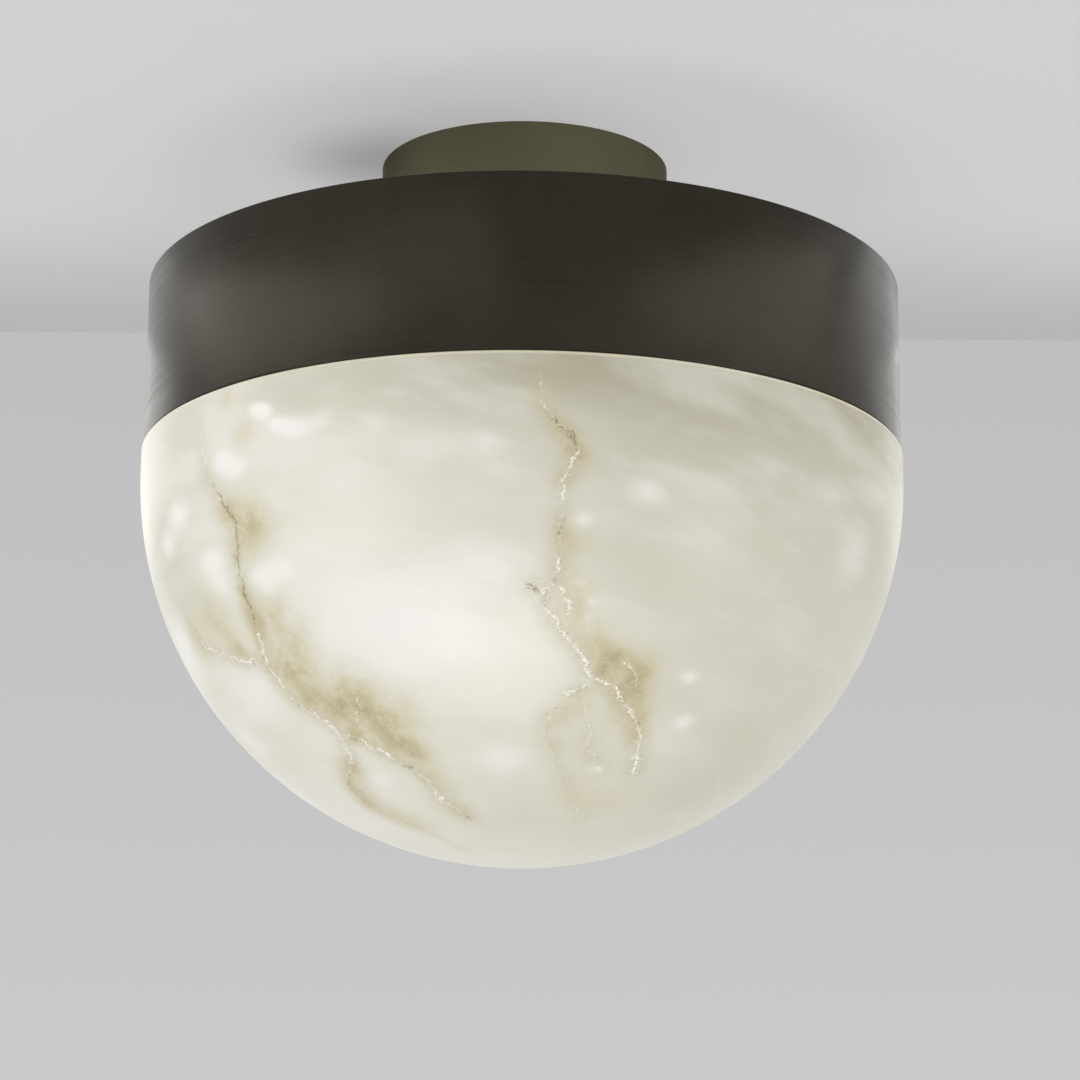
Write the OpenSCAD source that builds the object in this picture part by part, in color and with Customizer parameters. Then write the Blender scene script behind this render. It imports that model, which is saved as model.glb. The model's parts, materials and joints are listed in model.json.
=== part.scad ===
// Alabaster ceiling light: a bronze canopy and drum hung from a ceiling bracket,
// with a stone bowl that twists into the drum on three bayonet lugs.
// The origin is the middle of the ceiling face, and the light hangs down along -Z.

/* [Canopy] */
// Outer diameter of the ceiling canopy
canopy_d = 123; // [115:1:140]
// Height of the canopy, from the ceiling to the drum
canopy_h = 58; // [50:1:80]
// Sheet thickness of the canopy
canopy_wall = 1.5; // [1:0.1:3]

/* [Ceiling bracket] */
// Sheet thickness of the bracket
strap_t = 2; // [1.5:0.1:3]
// Width of the bracket
strap_w = 25; // [22:1:32]
// Distance between the middles of the two screw slots
slot_spacing = 72; // [70:1:76]
// Length of each screw slot, end to end
slot_length = 17; // [12:0.5:18]
// Width of each screw slot
slot_w = 5.2; // [4.5:0.1:6]
// Width of the bracket's dropped bridge
bridge_w = 46; // [40:1:48]

/* [Threaded tube] */
// Outer diameter of the hollow threaded tube
tube_d = 10; // [9.5:0.1:11]
// Bore of the tube, which the supply cable passes through
tube_bore = 7.5; // [6:0.1:8]
// Thickness of the nuts on the tube
tube_nut_t = 5; // [4:0.5:6]
// Width across the flats of the nuts on the tube
tube_nut_af = 17; // [15:0.5:19]

/* [Drum] */
// Outer diameter of the drum
drum_d = 320; // [300:1:350]
// Height of the drum
drum_h = 73; // [70:1:100]
// Thickness of the drum's side
drum_wall = 2; // [1.5:0.1:3]
// Thickness of the drum's top
drum_top_t = 2; // [1.5:0.1:4]
// Diameter of the steel plate that spreads the load under the drum's top
load_plate_d = 80; // [60:1:110]
// Thickness of that plate
load_plate_t = 3; // [2:0.5:5]

/* [Bowl] */
// How far the stone stands proud of the drum, all round
bowl_proud = 1; // [0:0.1:2]
// Thickness of the stone
bowl_wall = 11; // [9:0.5:14]
// Height of the bowl's straight side, above the hemisphere
bowl_straight = 10.5; // [2:0.5:40]
// Open joint between the drum's lower edge and the stone
rim_gap = 0.4; // [0.3:0.1:0.8]
// Chamfer round the outer edge of the stone's rim
rim_chamfer = 1; // [0.5:0.1:2]

/* [Bayonet] */
// Radial width of the ledge inside the drum
ledge_reach = 4.5; // [4:0.1:6]
// Thickness of the ledge
ledge_t = 3; // [2:0.1:4]
// Thickness of each lug
lug_t = 3; // [2:0.1:4]
// Width of each lug, in degrees round the collar
lug_deg = 24; // [16:1:26]
// Turn that brings the lugs from the locked place to the gaps, in degrees
twist_deg = 30; // [30:1:40]
// Thickness of the metal collar bonded into the bowl
collar_t = 2.5; // [2:0.1:3]
// Depth of the step cut for the collar in the stone's rim
rebate_h = 14; // [8:0.5:24]
// Thickness of the adhesive between the collar and the stone
bond_t = 0.5; // [0.3:0.1:0.8]

/* [Gear tray] */
// Distance from the drum's top to the tray
tray_drop = 38; // [34:1:50]
// Sheet thickness of the tray
tray_t = 1; // [0.8:0.1:2]
// Gap between the tray's edge and the drum's side
tray_gap = 6; // [4:0.5:20]
// Height of the tray's turned down edge
tray_rim_h = 8; // [4:0.5:12]
// Radius of the circle that the three tray studs stand on
stud_circle_r = 115; // [100:1:130]
// Diameter of the tray studs
stud_d = 4; // [3:0.5:5]
// Diameter of the spacer sleeves on the studs
spacer_d = 9; // [8:0.5:12]

/* [Lampholders] */
// Radius of the circle that the three lampholders stand on
holder_circle_r = 50; // [44:1:70]
// Outer diameter of a lampholder
holder_d = 28; // [26:0.5:32]
// Height of the lampholder's cap
holder_cap_h = 18; // [16:0.5:24]
// Thickness of the ceramic insert in the lampholder
insert_h = 8; // [6:0.5:10]

/* [Bulbs] */
// Diameter of a bulb's round globe
globe_d = 45; // [40:1:50]
// Diameter of the bulb's screw cap, over its thread
screw_cap_d = 13.9; // [13.5:0.1:14.5]
// Height of the screw cap
screw_cap_h = 16; // [14:0.5:20]
// Height of the bulb's white housing
housing_h = 22; // [16:0.5:30]
// Diameter of the housing where it meets the globe
housing_d = 34; // [28:0.5:36]

/* [Wires] */
// Outer diameter of each insulated wire
wire_d = 2; // [1.6:0.1:2.4]

/* [Hidden] */
$fn = 96;

// Colours
bronze = "#4d463d";
canopy_bronze = "#56533f";
zinc = "#b4b6b8";
brass = "#b59a5b";
white = "#f2f1ec";
opal = "#fbf6e6";
stone = "#e3e0cf";
black = "#1c1c1c";

// Clearances shared by the pieces that fit together
thread_play = 0.1;     // radial, between a thread and its nut
hole_play = 0.25;      // radial, round a tube or stud in sheet metal
running_play = 0.3;    // between pieces that move past each other
cap_play = 0.08;       // radial, between a bulb's screw cap and its shell
contact_gap = 0.1;     // between a bulb's tip and the spring tongue
overcut = 1;           // how far a cutter runs past what it cuts

// Radii of the shells
canopy_r = canopy_d / 2;
drum_r = drum_d / 2;
drum_in_r = drum_r - drum_wall;
bowl_r = drum_r + bowl_proud;
bowl_in_r = bowl_r - bowl_wall;
canopy_edge = 0.6;
drum_edge = 0.8;

// Bracket and tube
tube_r = tube_d / 2;
tube_proud = 1.5;
strap_end_gap = 4;
earth_screw_r = 1.9;
earth_hole_r = 2;
earth_head_r = 3.5;
earth_head_h = 2.2;
driver_slot_w = 0.8;
earth_screw_x = (bridge_w / 2 + tube_nut_af / sqrt(3)) / 2;
bridge_top = -(tube_nut_t + tube_proud + 1.5);
bridge_bottom = bridge_top - strap_t;
strap_half_l = sqrt(pow(canopy_r - canopy_wall - strap_end_gap, 2) - pow(strap_w / 2, 2));
tube_top = bridge_top + tube_nut_t + tube_proud;

// Levels below the ceiling
drum_top_z = -canopy_h;
drum_inner_z = drum_top_z - drum_top_t;
drum_bottom_z = drum_top_z - drum_h;
washer_t = 1.6;
washer_z = drum_inner_z - load_plate_t - washer_t;
drum_nut_z = washer_z - tube_nut_t;
tube_bottom = drum_nut_z - tube_proud;
washer_ring_w = 4;
washer_split_deg = 3;
bush_wall = 1.5;
bush_grip = 1.2;
bush_step = 0.3;
rim_z = drum_bottom_z - rim_gap;
dome_z = rim_z - bowl_straight;

// Bayonet, with the locked lugs in the middle of each third
turns = [0, 120, 240];
ledge_recess = 1;
ledge_in_r = drum_in_r - ledge_reach;
ledge_z = drum_bottom_z + ledge_recess;
lug_z = ledge_z + ledge_t + running_play;
lug_out_r = drum_in_r - running_play;
collar_out_r = ledge_in_r - running_play;
collar_in_r = collar_out_r - collar_t;
collar_bottom_z = rim_z - rebate_h + bond_t;
collar_lip = 3;
collar_top_z = lug_z + lug_t + collar_lip;
rebate_r = collar_out_r + bond_t;
lug_start = 60 - lug_deg / 2;
lug_end = lug_start + lug_deg;
stop_play = 0.5;
entry_play = 3;
gap_start = lug_start - twist_deg - stop_play;
gap_end = lug_end - twist_deg + entry_play;
stop_deg = 2.5;
stop_inset = 0.8;
rivet_hole_r = 1.5;
rivet_shank_r = 1.2;
rivet_head_r = 2.6;
rivet_head_t = 1;
rivet_gap = 0.05;
rivet_bite = (lug_out_r - collar_out_r) * 0.6;
rivet_spread = 0.28;
bond_drop = 1;
seal_side = 0.4;

// Gear tray
tray_z = drum_inner_z - tray_drop;
tray_under_z = tray_z - tray_t;
tray_r = drum_in_r - tray_gap;
stud_turns = [90, 210, 330];
stud_nut_t = 3.2;
stud_nut_af = 1.75 * stud_d;
stud_washer_t = 0.8;
stud_washer_w = 2.5;
tray_bend = 1;
stud_tip = 2;
nut_z = tray_under_z - stud_washer_t - stud_nut_t;

// Lampholders, from the tray down
holder_turns = [30, 150, 270];
holder_r = holder_d / 2;
nipple_d = 10;
nipple_bore = 7.5;
nipple_r = nipple_d / 2;
nipple_nut_t = 4;
nipple_nut_af = 14;
nipple_proud = 1.5;
cap_floor = 6;
nipple_in = cap_floor - 0.5;
cap_wall = 2;
cap_edge = 1;
chamber_h = 3;
insert_gap = 0.2;
insert_screw_r = 1.3;
insert_top = tray_under_z - cap_floor - chamber_h;
insert_z = insert_top - insert_h;
shell_wall = 0.5;
shell_in_r = screw_cap_d / 2 + cap_play;
shell_h = screw_cap_h + 1;
skirt_z = tray_under_z - holder_cap_h;
tongue_t = 0.8;
tongue_size = [6, 4, tongue_t];
tongue_z = insert_z - tongue_t;
skirt_floor = 2;
skirt_taper = 1.5;
skirt_play = 1;

// Bulbs, from the tongue down
contact_top = tongue_z - contact_gap;
tip_r = 2.4;
tip_h = 1.2;
tip_ledge = 0.8;
vitrite_h = 2.8;
screw_cap_z = contact_top - tip_h - vitrite_h - screw_cap_h;
screw_cap_r = screw_cap_d / 2;
thread_pitch = 2.82;
thread_depth = 0.7;
thread_turns = 4;
skirt_bottom = screw_cap_z + 1;
housing_neck_r = screw_cap_r + 0.9;
housing_neck_h = 3;
housing_z = screw_cap_z - housing_h;
globe_r = globe_d / 2;
housing_r = housing_d / 2;
globe_z = housing_z - sqrt(globe_r * globe_r - housing_r * housing_r);
housing_lip = 1.2;

// Terminal block on the tray, and the clamp that holds the supply cable
block_y = 64;
block_size = [34, 16, 14];
block_foot_t = 2;
block_foot_l = 5;
block_foot_w = 8;
ways = [-10, 0, 10];
block_screw_r = 1.8;
block_screw_h = 1.6;
block_screw_l = 3;
block_screw_rows = [-4, 4];
well_play = 0.4;
well_floor = 1.5;
clamp_y = 32;
clamp_size = [30, 9, 5];
clamp_bar_t = 2;
clamp_cable_gap = 7;
clamp_screw_x = clamp_cable_gap / 2 + 4.5;
clamp_screw_r = 1.4;
clamp_head_r = 2.8;
clamp_head_h = 2;
clamp_hole_play = 0.2;
earth_y = 90;
earth_washer_r = 4;
earth_washer_t = 0.8;

// Wires: their heights above the tray, and their places in a nipple's bore
wire_lift = 4;
wire_low = wire_d / 2 + 0.2;
wire_high = nipple_nut_t + nipple_proud + 3;
wire_spot_r = nipple_bore / 2 - wire_d / 2 - 0.35;
wire_bend = 2.5;
wire_bend_steps = 3;
wire_sides = 8;
wire_in_block = 5;
wire_hole_r = wire_d / 2 + 0.4;
well_z = wire_lift + wire_hole_r + well_floor;
wire_rise = 2;
wire_approach = 9;
wire_swing = [14, -8];
wire_turn = [11, 7];
wire_out = 8;

// Plain ring standing on z = 0
module ring(r_in, r_out, h) {
  rotate_extrude() translate([r_in, 0]) square([r_out - r_in, h]);
}

// Part of such a ring, from angle a0 to a1
module ring_part(r_in, r_out, h, a0, a1) {
  rotate([0, 0, a0]) rotate_extrude(angle = a1 - a0) translate([r_in, 0]) square([r_out - r_in, h]);
}

// Hexagonal nut standing on z = 0
module hex_nut(af, bore_r, h) {
  difference() {
    cylinder(r = af / sqrt(3), h = h, $fn = 6);
    translate([0, 0, -overcut]) cylinder(r = bore_r, h = h + 2 * overcut);
  }
}

// Slotted pan head screw: its head's underside is at z = 0 and its shank goes down
module pan_screw(shank_r, shank_l, head_r, head_h) {
  slot_depth = head_h * 0.5;
  difference() {
    union() {
      cylinder(r = head_r, h = head_h);
      translate([0, 0, -shank_l]) cylinder(r = shank_r, h = shank_l);
    }
    translate([-head_r - overcut, -driver_slot_w / 2, head_h - slot_depth])
      cube([2 * (head_r + overcut), driver_slot_w, head_h]);
  }
}

// Copies its child at each of the given angles, at radius r
module at_turns(angles, r) {
  for (a = angles) rotate([0, 0, a]) translate([r, 0, 0]) children();
}

// Points of a smooth curve through p: each corner is cut by a short bend
function unit(v) = v / norm(v);
function bend(a, b, c, r, steps) =
  let (p = b + unit(a - b) * r, q = b + unit(c - b) * r)
  [for (i = [0:steps]) let (t = i / steps) p * (1 - t) * (1 - t) + 2 * b * t * (1 - t) + q * t * t];
function rounded(p, r, steps) = [
  p[0],
  for (i = [1:len(p) - 2]) each bend(p[i - 1], p[i], p[i + 1], r, steps),
  p[len(p) - 1]
];

// Round tube swept along the points p
module tube_along(p, d) {
  n = len(p);
  function ahead(i) = unit(p[min(i + 1, n - 1)] - p[max(i - 1, 0)]);
  function side(i) = unit(cross(ahead(i), [0.32, -0.21, 0.12]));
  rings = [for (i = [0:n - 1]) let (s = side(i), u = cross(ahead(i), s))
    for (k = [0:wire_sides - 1]) let (a = 360 * k / wire_sides) p[i] + d / 2 * (cos(a) * s + sin(a) * u)];
  sides = [for (i = [0:n - 2]) for (k = [0:wire_sides - 1])
    let (m = (k + 1) % wire_sides, a = i * wire_sides, b = a + wire_sides)
    each [[a + k, a + m, b + m], [a + k, b + m, b + k]]];
  first = [[for (k = [0:wire_sides - 1]) wire_sides - 1 - k]];
  last = [[for (k = [0:wire_sides - 1]) (n - 1) * wire_sides + k]];
  polyhedron(points = rings, faces = concat(sides, first, last), convexity = 6);
}

// Steel bracket: two feet on the ceiling and a dropped bridge that carries the tube
module ceiling_bracket() {
  b = bridge_w / 2;
  depth = strap_t + 2 * overcut;
  profile = [
    [-strap_half_l, 0], [-b, 0], [-b, bridge_top], [b, bridge_top], [b, 0], [strap_half_l, 0],
    [strap_half_l, -strap_t], [b + strap_t, -strap_t], [b + strap_t, bridge_bottom],
    [-b - strap_t, bridge_bottom], [-b - strap_t, -strap_t], [-strap_half_l, -strap_t]
  ];
  color(zinc) difference() {
    translate([0, strap_w / 2, 0]) rotate([90, 0, 0]) linear_extrude(strap_w) polygon(profile);
    for (side = [-1, 1]) translate([side * slot_spacing / 2, 0, -strap_t - overcut]) screw_slot();
    translate([0, 0, bridge_bottom - overcut]) cylinder(r = tube_r + hole_play, h = depth);
    translate([earth_screw_x, 0, bridge_bottom - overcut]) cylinder(r = earth_hole_r, h = depth);
  }
}

// Slot for a ceiling screw, cut through the bracket
module screw_slot() {
  half = (slot_length - slot_w) / 2;
  depth = strap_t + 2 * overcut;
  for (side = [-1, 1]) translate([side * half, 0, 0]) cylinder(r = slot_w / 2, h = depth);
  translate([-half, -slot_w / 2, 0]) cube([2 * half, slot_w, depth]);
}

// Earth screw in the bracket's bridge, driven from below
module bracket_earth_screw() {
  color(brass) translate([earth_screw_x, 0, bridge_bottom]) rotate([180, 0, 0])
    pan_screw(earth_screw_r, strap_t + 2, earth_head_r, earth_head_h);
}

// Hollow threaded tube that hangs the light and passes the supply cable
module threaded_tube() {
  color(zinc) translate([0, 0, tube_bottom]) ring(tube_bore / 2, tube_r, tube_top - tube_bottom);
}

// The nuts above and below the bridge
module tube_lock_nuts() {
  color(zinc) for (z = [bridge_top, bridge_bottom - tube_nut_t])
    translate([0, 0, z]) hex_nut(tube_nut_af, tube_r + thread_play, tube_nut_t);
}

// Ceiling canopy: a cup that covers the bracket, open to the ceiling
module canopy() {
  profile = [
    [tube_r + hole_play, drum_top_z], [canopy_r - canopy_edge, drum_top_z],
    [canopy_r, drum_top_z + canopy_edge], [canopy_r, 0], [canopy_r - canopy_wall, 0],
    [canopy_r - canopy_wall, drum_top_z + canopy_wall], [tube_r + hole_play, drum_top_z + canopy_wall]
  ];
  color(canopy_bronze) rotate_extrude() polygon(profile);
}

// Drum: a deep cup with its mouth down, and a fine bevel round its top
module drum_shell() {
  profile = [
    [tube_r + hole_play, drum_top_z], [drum_r - drum_edge, drum_top_z], [drum_r, drum_top_z - drum_edge],
    [drum_r, drum_bottom_z], [drum_in_r, drum_bottom_z], [drum_in_r, drum_inner_z],
    [tube_r + hole_play, drum_inner_z]
  ];
  color(bronze) rotate_extrude() polygon(profile);
}

// Steel plate under the drum's top, which spreads the load of the stone
module load_plate() {
  color(zinc) translate([0, 0, drum_inner_z - load_plate_t])
    ring(tube_r + hole_play, load_plate_d / 2, load_plate_t);
}

// Split spring washer, with its ends a little apart
module spring_washer() {
  color(zinc) translate([0, 0, washer_z])
    ring_part(tube_r + hole_play, tube_r + washer_ring_w, washer_t, washer_split_deg, 360 - washer_split_deg);
}

// Nut that holds drum and canopy up against the bracket
module drum_nut() {
  color(brass) translate([0, 0, drum_nut_z]) hex_nut(tube_nut_af, tube_r + thread_play, tube_nut_t);
}

// Plastic bush over the tube's sharp lower end
module tube_bush() {
  z0 = tube_bottom - bush_wall;
  profile = [
    [tube_bore / 2 + bush_step, z0], [tube_r + bush_wall, z0], [tube_r + bush_wall, tube_bottom + bush_grip],
    [tube_r + thread_play, tube_bottom + bush_grip], [tube_r + thread_play, tube_bottom],
    [tube_bore / 2 + bush_step, tube_bottom]
  ];
  color(black) rotate_extrude() polygon(profile);
}

// Ledge inside the drum's mouth, open in three gaps that let the lugs through
module bayonet_ring() {
  color(zinc) for (t = turns)
    translate([0, 0, ledge_z]) ring_part(ledge_in_r, drum_in_r, ledge_t, gap_end + t, gap_start + 120 + t);
}

// Stops on the ledge: one behind each locked lug, and one behind each open gap
module bayonet_stops() {
  locked = lug_end + stop_play;
  open = gap_start - stop_deg;
  color(zinc) for (t = turns) for (a = [locked, open]) translate([0, 0, ledge_z + ledge_t])
    ring_part(ledge_in_r + stop_inset, drum_in_r, lug_t, a + t, a + stop_deg + t);
}

// Studs welded to the drum's top, which carry the tray
module tray_studs() {
  l = tray_drop + tray_t + stud_washer_t + stud_nut_t + stud_tip;
  color(zinc) at_turns(stud_turns, stud_circle_r) translate([0, 0, drum_inner_z - l])
    cylinder(d = stud_d, h = l);
}

// Sleeves on the studs, which set the tray's height
module tray_spacers() {
  color(zinc) at_turns(stud_turns, stud_circle_r) translate([0, 0, tray_z])
    ring(stud_d / 2 + thread_play, spacer_d / 2, tray_drop);
}

// White sheet tray that throws the light down, with a turned down edge
module gear_tray() {
  profile = [
    [0, tray_z], [tray_r - tray_bend, tray_z], [tray_r, tray_z - tray_bend],
    [tray_r, tray_under_z - tray_rim_h], [tray_r - tray_t, tray_under_z - tray_rim_h],
    [tray_r - tray_t, tray_under_z], [0, tray_under_z]
  ];
  depth = tray_t + 2 * overcut;
  color(white) difference() {
    rotate_extrude() polygon(profile);
    at_turns(stud_turns, stud_circle_r) translate([0, 0, tray_under_z - overcut])
      cylinder(r = stud_d / 2 + hole_play, h = depth);
    at_turns(holder_turns, holder_circle_r) translate([0, 0, tray_under_z - overcut])
      cylinder(r = nipple_r + hole_play, h = depth);
    translate([0, earth_y, tray_under_z - overcut]) cylinder(r = earth_hole_r, h = depth);
    for (x = [-1, 1]) translate([x * clamp_screw_x, clamp_y, tray_under_z - overcut])
      cylinder(r = clamp_screw_r + thread_play, h = depth);
  }
}

// Washers under the tray
module tray_washers() {
  color(zinc) at_turns(stud_turns, stud_circle_r) translate([0, 0, tray_under_z - stud_washer_t])
    ring(stud_d / 2 + thread_play, stud_d / 2 + stud_washer_w, stud_washer_t);
}

// Nuts that hold the tray up against the sleeves
module tray_nuts() {
  color(zinc) at_turns(stud_turns, stud_circle_r) translate([0, 0, nut_z])
    hex_nut(stud_nut_af, stud_d / 2 + thread_play, stud_nut_t);
}

// Three way terminal block, with a wire hole through each way and a screw well above it
module terminal_block() {
  foot = [block_size[0] + 2 * block_foot_l, block_foot_w, block_foot_t];
  color(white) translate([0, block_y, tray_z]) difference() {
    union() {
      translate([-foot[0] / 2, -foot[1] / 2, 0]) cube(foot);
      translate([-block_size[0] / 2, -block_size[1] / 2, 0]) cube(block_size);
    }
    for (x = ways) {
      translate([x, block_size[1], wire_lift]) rotate([90, 0, 0])
        cylinder(r = wire_hole_r, h = 2 * block_size[1]);
      for (y = block_screw_rows) translate([x, y, well_z])
        cylinder(r = block_screw_r + well_play, h = block_size[2]);
    }
  }
}

// Clamp screws down in the terminal block's wells
module terminal_screws() {
  color(brass) for (x = ways) for (y = block_screw_rows)
    translate([x, block_y + y, tray_z + well_z + block_screw_l])
      pan_screw(block_screw_r * 0.8, block_screw_l, block_screw_r, block_screw_h);
}

// Clamp for the supply cable: a foot on the tray and a bar over the cable
module cable_clamp() {
  foot_t = clamp_size[2];
  half = clamp_size[0] / 2;
  bar_z = tray_z + foot_t;
  color(white) translate([0, clamp_y - clamp_size[1] / 2, 0]) difference() {
    union() {
      for (x = [-half, clamp_cable_gap / 2]) translate([x, 0, tray_z])
        cube([half - clamp_cable_gap / 2, clamp_size[1], foot_t]);
      translate([-half, 0, bar_z]) cube([clamp_size[0], clamp_size[1], clamp_bar_t]);
    }
    for (x = [-1, 1]) translate([x * clamp_screw_x, clamp_size[1] / 2, tray_z - overcut])
      cylinder(r = clamp_screw_r + clamp_hole_play, h = foot_t + clamp_bar_t + 2 * overcut);
  }
}

// Screws that draw the clamp's bar down on the cable
module cable_clamp_screws() {
  top = clamp_size[2] + clamp_bar_t;
  color(zinc) for (x = [-1, 1]) translate([x * clamp_screw_x, clamp_y, tray_z + top])
    pan_screw(clamp_screw_r, top + tray_t, clamp_head_r, clamp_head_h);
}

// Earth screw on the tray, with a washer under its head
module tray_earth_screw() {
  color(brass) translate([0, earth_y, tray_z]) {
    ring(earth_screw_r, earth_washer_r, earth_washer_t);
    translate([0, 0, earth_washer_t]) pan_screw(earth_screw_r, tray_t + 3, earth_head_r, earth_head_h);
  }
}

// Middle of lampholder k, and the place of a wire in its nipple at angle a
function holder_place(k) = holder_circle_r * [cos(holder_turns[k]), sin(holder_turns[k])];
function wire_spot(k, a) = holder_place(k) + wire_spot_r * [cos(a), sin(a)];

// End of a wire: from the tray, over the nut on lampholder k, and down to its insert.
// The wire lies at angle a in the nipple, and comes in from the direction d.
function wire_end(k, a, d) =
  let (
    s = wire_spot(k, a),
    nut_r = nipple_nut_af / sqrt(3),
    near = s + (nut_r + wire_rise) * d,
    far = s + (nut_r + wire_approach) * d
  )
  [[far[0], far[1], tray_z + wire_low], [near[0], near[1], tray_z + wire_high],
   [s[0], s[1], tray_z + wire_high], [s[0], s[1], insert_top]];

// The same points in the other order
function reversed(p) = [for (i = [len(p) - 1:-1:0]) p[i]];

// Wire between two lampholders, at angles a0 and a1 in their nipples
module link_wire(k0, a0, k1, a1) {
  d = unit(holder_place(k1) - holder_place(k0));
  points = concat(reversed(wire_end(k0, a0, d)), wire_end(k1, a1, -d));
  tube_along(rounded(points, wire_bend, wire_bend_steps), wire_d);
}

// Wire from the terminal block's way i round the block's end to lampholder k
module block_wire(i, k) {
  side = sign(ways[i]);
  back_y = block_y + block_size[1] / 2;
  corner = [side * (block_size[0] / 2 + wire_swing[0]), block_y + wire_swing[1]];
  d = unit(corner - holder_place(k));
  points = concat([
    [ways[i], back_y - wire_in_block, tray_z + wire_lift],
    [ways[i], back_y + wire_out, tray_z + wire_lift],
    [side * (block_size[0] / 2 + wire_turn[0]), back_y + wire_turn[1], tray_z + wire_low],
    [corner[0], corner[1], tray_z + wire_low]
  ], wire_end(k, atan2(d[1], d[0]), d));
  tube_along(rounded(points, wire_bend, wire_bend_steps), wire_d);
}

// Brown wires: terminal block, second, third and first lampholder in turn
module live_wires() {
  color("saddlebrown") {
    block_wire(0, 1);
    link_wire(1, 300, 2, 120);
    link_wire(2, 60, 0, 240);
  }
}

// Blue wires: terminal block, first, third and second lampholder in turn
module neutral_wires() {
  color("royalblue") {
    block_wire(2, 0);
    link_wire(0, 330, 2, 330);
    link_wire(2, 210, 1, 210);
  }
}

// Earth wire from the terminal block's middle way to the screw on the tray
module earth_wire() {
  back_y = block_y + block_size[1] / 2;
  color("yellowgreen") tube_along(rounded([
    [0, back_y - wire_in_block, tray_z + wire_lift],
    [0, back_y + 3, tray_z + wire_lift],
    [0, earth_y - wire_approach, tray_z + wire_lift + 3],
    [0, earth_y - earth_washer_r - 0.2, tray_z + wire_low]
  ], wire_bend, wire_bend_steps), wire_d);
}

// Short hollow nipples that hold the lampholders to the tray
module holder_nipples() {
  top = tray_z + nipple_nut_t + nipple_proud;
  bottom = tray_under_z - nipple_in;
  color(zinc) at_turns(holder_turns, holder_circle_r) translate([0, 0, bottom])
    ring(nipple_bore / 2, nipple_r, top - bottom);
}

// Nuts on the nipples, above the tray
module holder_nuts() {
  color(zinc) at_turns(holder_turns, holder_circle_r) translate([0, 0, tray_z])
    hex_nut(nipple_nut_af, nipple_r + thread_play, nipple_nut_t);
}

// Spring tongue in each lampholder, which meets the bulb's tip
module holder_tongues() {
  color(brass) at_turns(holder_turns, holder_circle_r)
    translate([-tongue_size[0] / 2, -tongue_size[1] / 2, tongue_z]) cube(tongue_size);
}

// Cap of lampholder k: a threaded floor and a short wall
module holder_cap(k) {
  profile = [
    [nipple_r + thread_play, tray_under_z], [holder_r - cap_edge, tray_under_z],
    [holder_r, tray_under_z - cap_edge], [holder_r, skirt_z], [holder_r - cap_wall, skirt_z],
    [holder_r - cap_wall, tray_under_z - cap_floor],
    [nipple_r + thread_play, tray_under_z - cap_floor]
  ];
  color(white) at_turns([holder_turns[k - 1]], holder_circle_r) rotate_extrude() polygon(profile);
}

// Ceramic insert of lampholder k, with two screw holes
module holder_insert(k) {
  color("ivory") at_turns([holder_turns[k - 1]], holder_circle_r) difference() {
    translate([0, 0, insert_z]) cylinder(r = holder_r - cap_wall - insert_gap, h = insert_h);
    for (y = [-1, 1]) translate([0, y * (shell_in_r + shell_wall + 2), insert_z - overcut])
      cylinder(r = insert_screw_r, h = insert_h + 2 * overcut);
  }
}

// Brass screw shell of lampholder k, under the insert
module holder_shell(k) {
  color(brass) at_turns([holder_turns[k - 1]], holder_circle_r) translate([0, 0, insert_z - shell_h])
    ring(shell_in_r, shell_in_r + shell_wall, shell_h);
}

// Skirt of lampholder k: covers the shell, and is open where the bulb goes in
module holder_skirt(k) {
  mouth_r = shell_in_r + shell_wall + skirt_play;
  profile = [
    [holder_r, skirt_z], [holder_r - skirt_taper, skirt_bottom], [mouth_r, skirt_bottom],
    [mouth_r, skirt_bottom + skirt_floor], [holder_r - cap_wall - skirt_play, skirt_bottom + skirt_floor],
    [holder_r - cap_wall, skirt_z]
  ];
  color(white) at_turns([holder_turns[k - 1]], holder_circle_r) rotate_extrude() polygon(profile);
}

// Screw cap of bulb k, with round thread crests
module bulb_cap(k) {
  crest = screw_cap_r;
  root = screw_cap_r - thread_depth;
  first = screw_cap_z + screw_cap_h - thread_pitch / 2;
  thread = [for (i = [0:thread_turns - 1]) each [
    [root, first - i * thread_pitch], [crest, first - (i + 0.35) * thread_pitch],
    [crest, first - (i + 0.65) * thread_pitch], [root, first - (i + 1) * thread_pitch]
  ]];
  color(zinc) at_turns([holder_turns[k - 1]], holder_circle_r) rotate_extrude() polygon(concat(
    [[0, screw_cap_z], [0, screw_cap_z + screw_cap_h], [root, screw_cap_z + screw_cap_h]],
    thread, [[root, screw_cap_z]]
  ));
}

// Glass insulator and solder tip on bulb k
module bulb_contact(k) {
  base_z = screw_cap_z + screw_cap_h;
  color(black) at_turns([holder_turns[k - 1]], holder_circle_r) {
    rotate_extrude() polygon([
      [0, base_z], [screw_cap_r - thread_depth, base_z],
      [tip_r + tip_ledge, base_z + vitrite_h], [0, base_z + vitrite_h]
    ]);
    translate([0, 0, base_z + vitrite_h]) cylinder(r = tip_r, h = tip_h);
  }
}

// White housing of bulb k, which flares from the cap to the globe
module bulb_housing(k) {
  color(white) at_turns([holder_turns[k - 1]], holder_circle_r) rotate_extrude() polygon([
    [0, screw_cap_z], [housing_neck_r, screw_cap_z], [housing_neck_r, screw_cap_z - housing_neck_h],
    [housing_r * 0.72, screw_cap_z - housing_h * 0.45], [housing_r * 0.94, screw_cap_z - housing_h * 0.8],
    [housing_r, housing_z + housing_lip], [housing_r, housing_z], [0, housing_z]
  ]);
}

// Opal globe of bulb k
module bulb_globe(k) {
  color(opal) at_turns([holder_turns[k - 1]], holder_circle_r) rotate_extrude() intersection() {
    translate([0, globe_z]) circle(globe_r);
    translate([0, globe_z - globe_r]) square([globe_r, housing_z - globe_z + globe_r]);
  }
}

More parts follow.
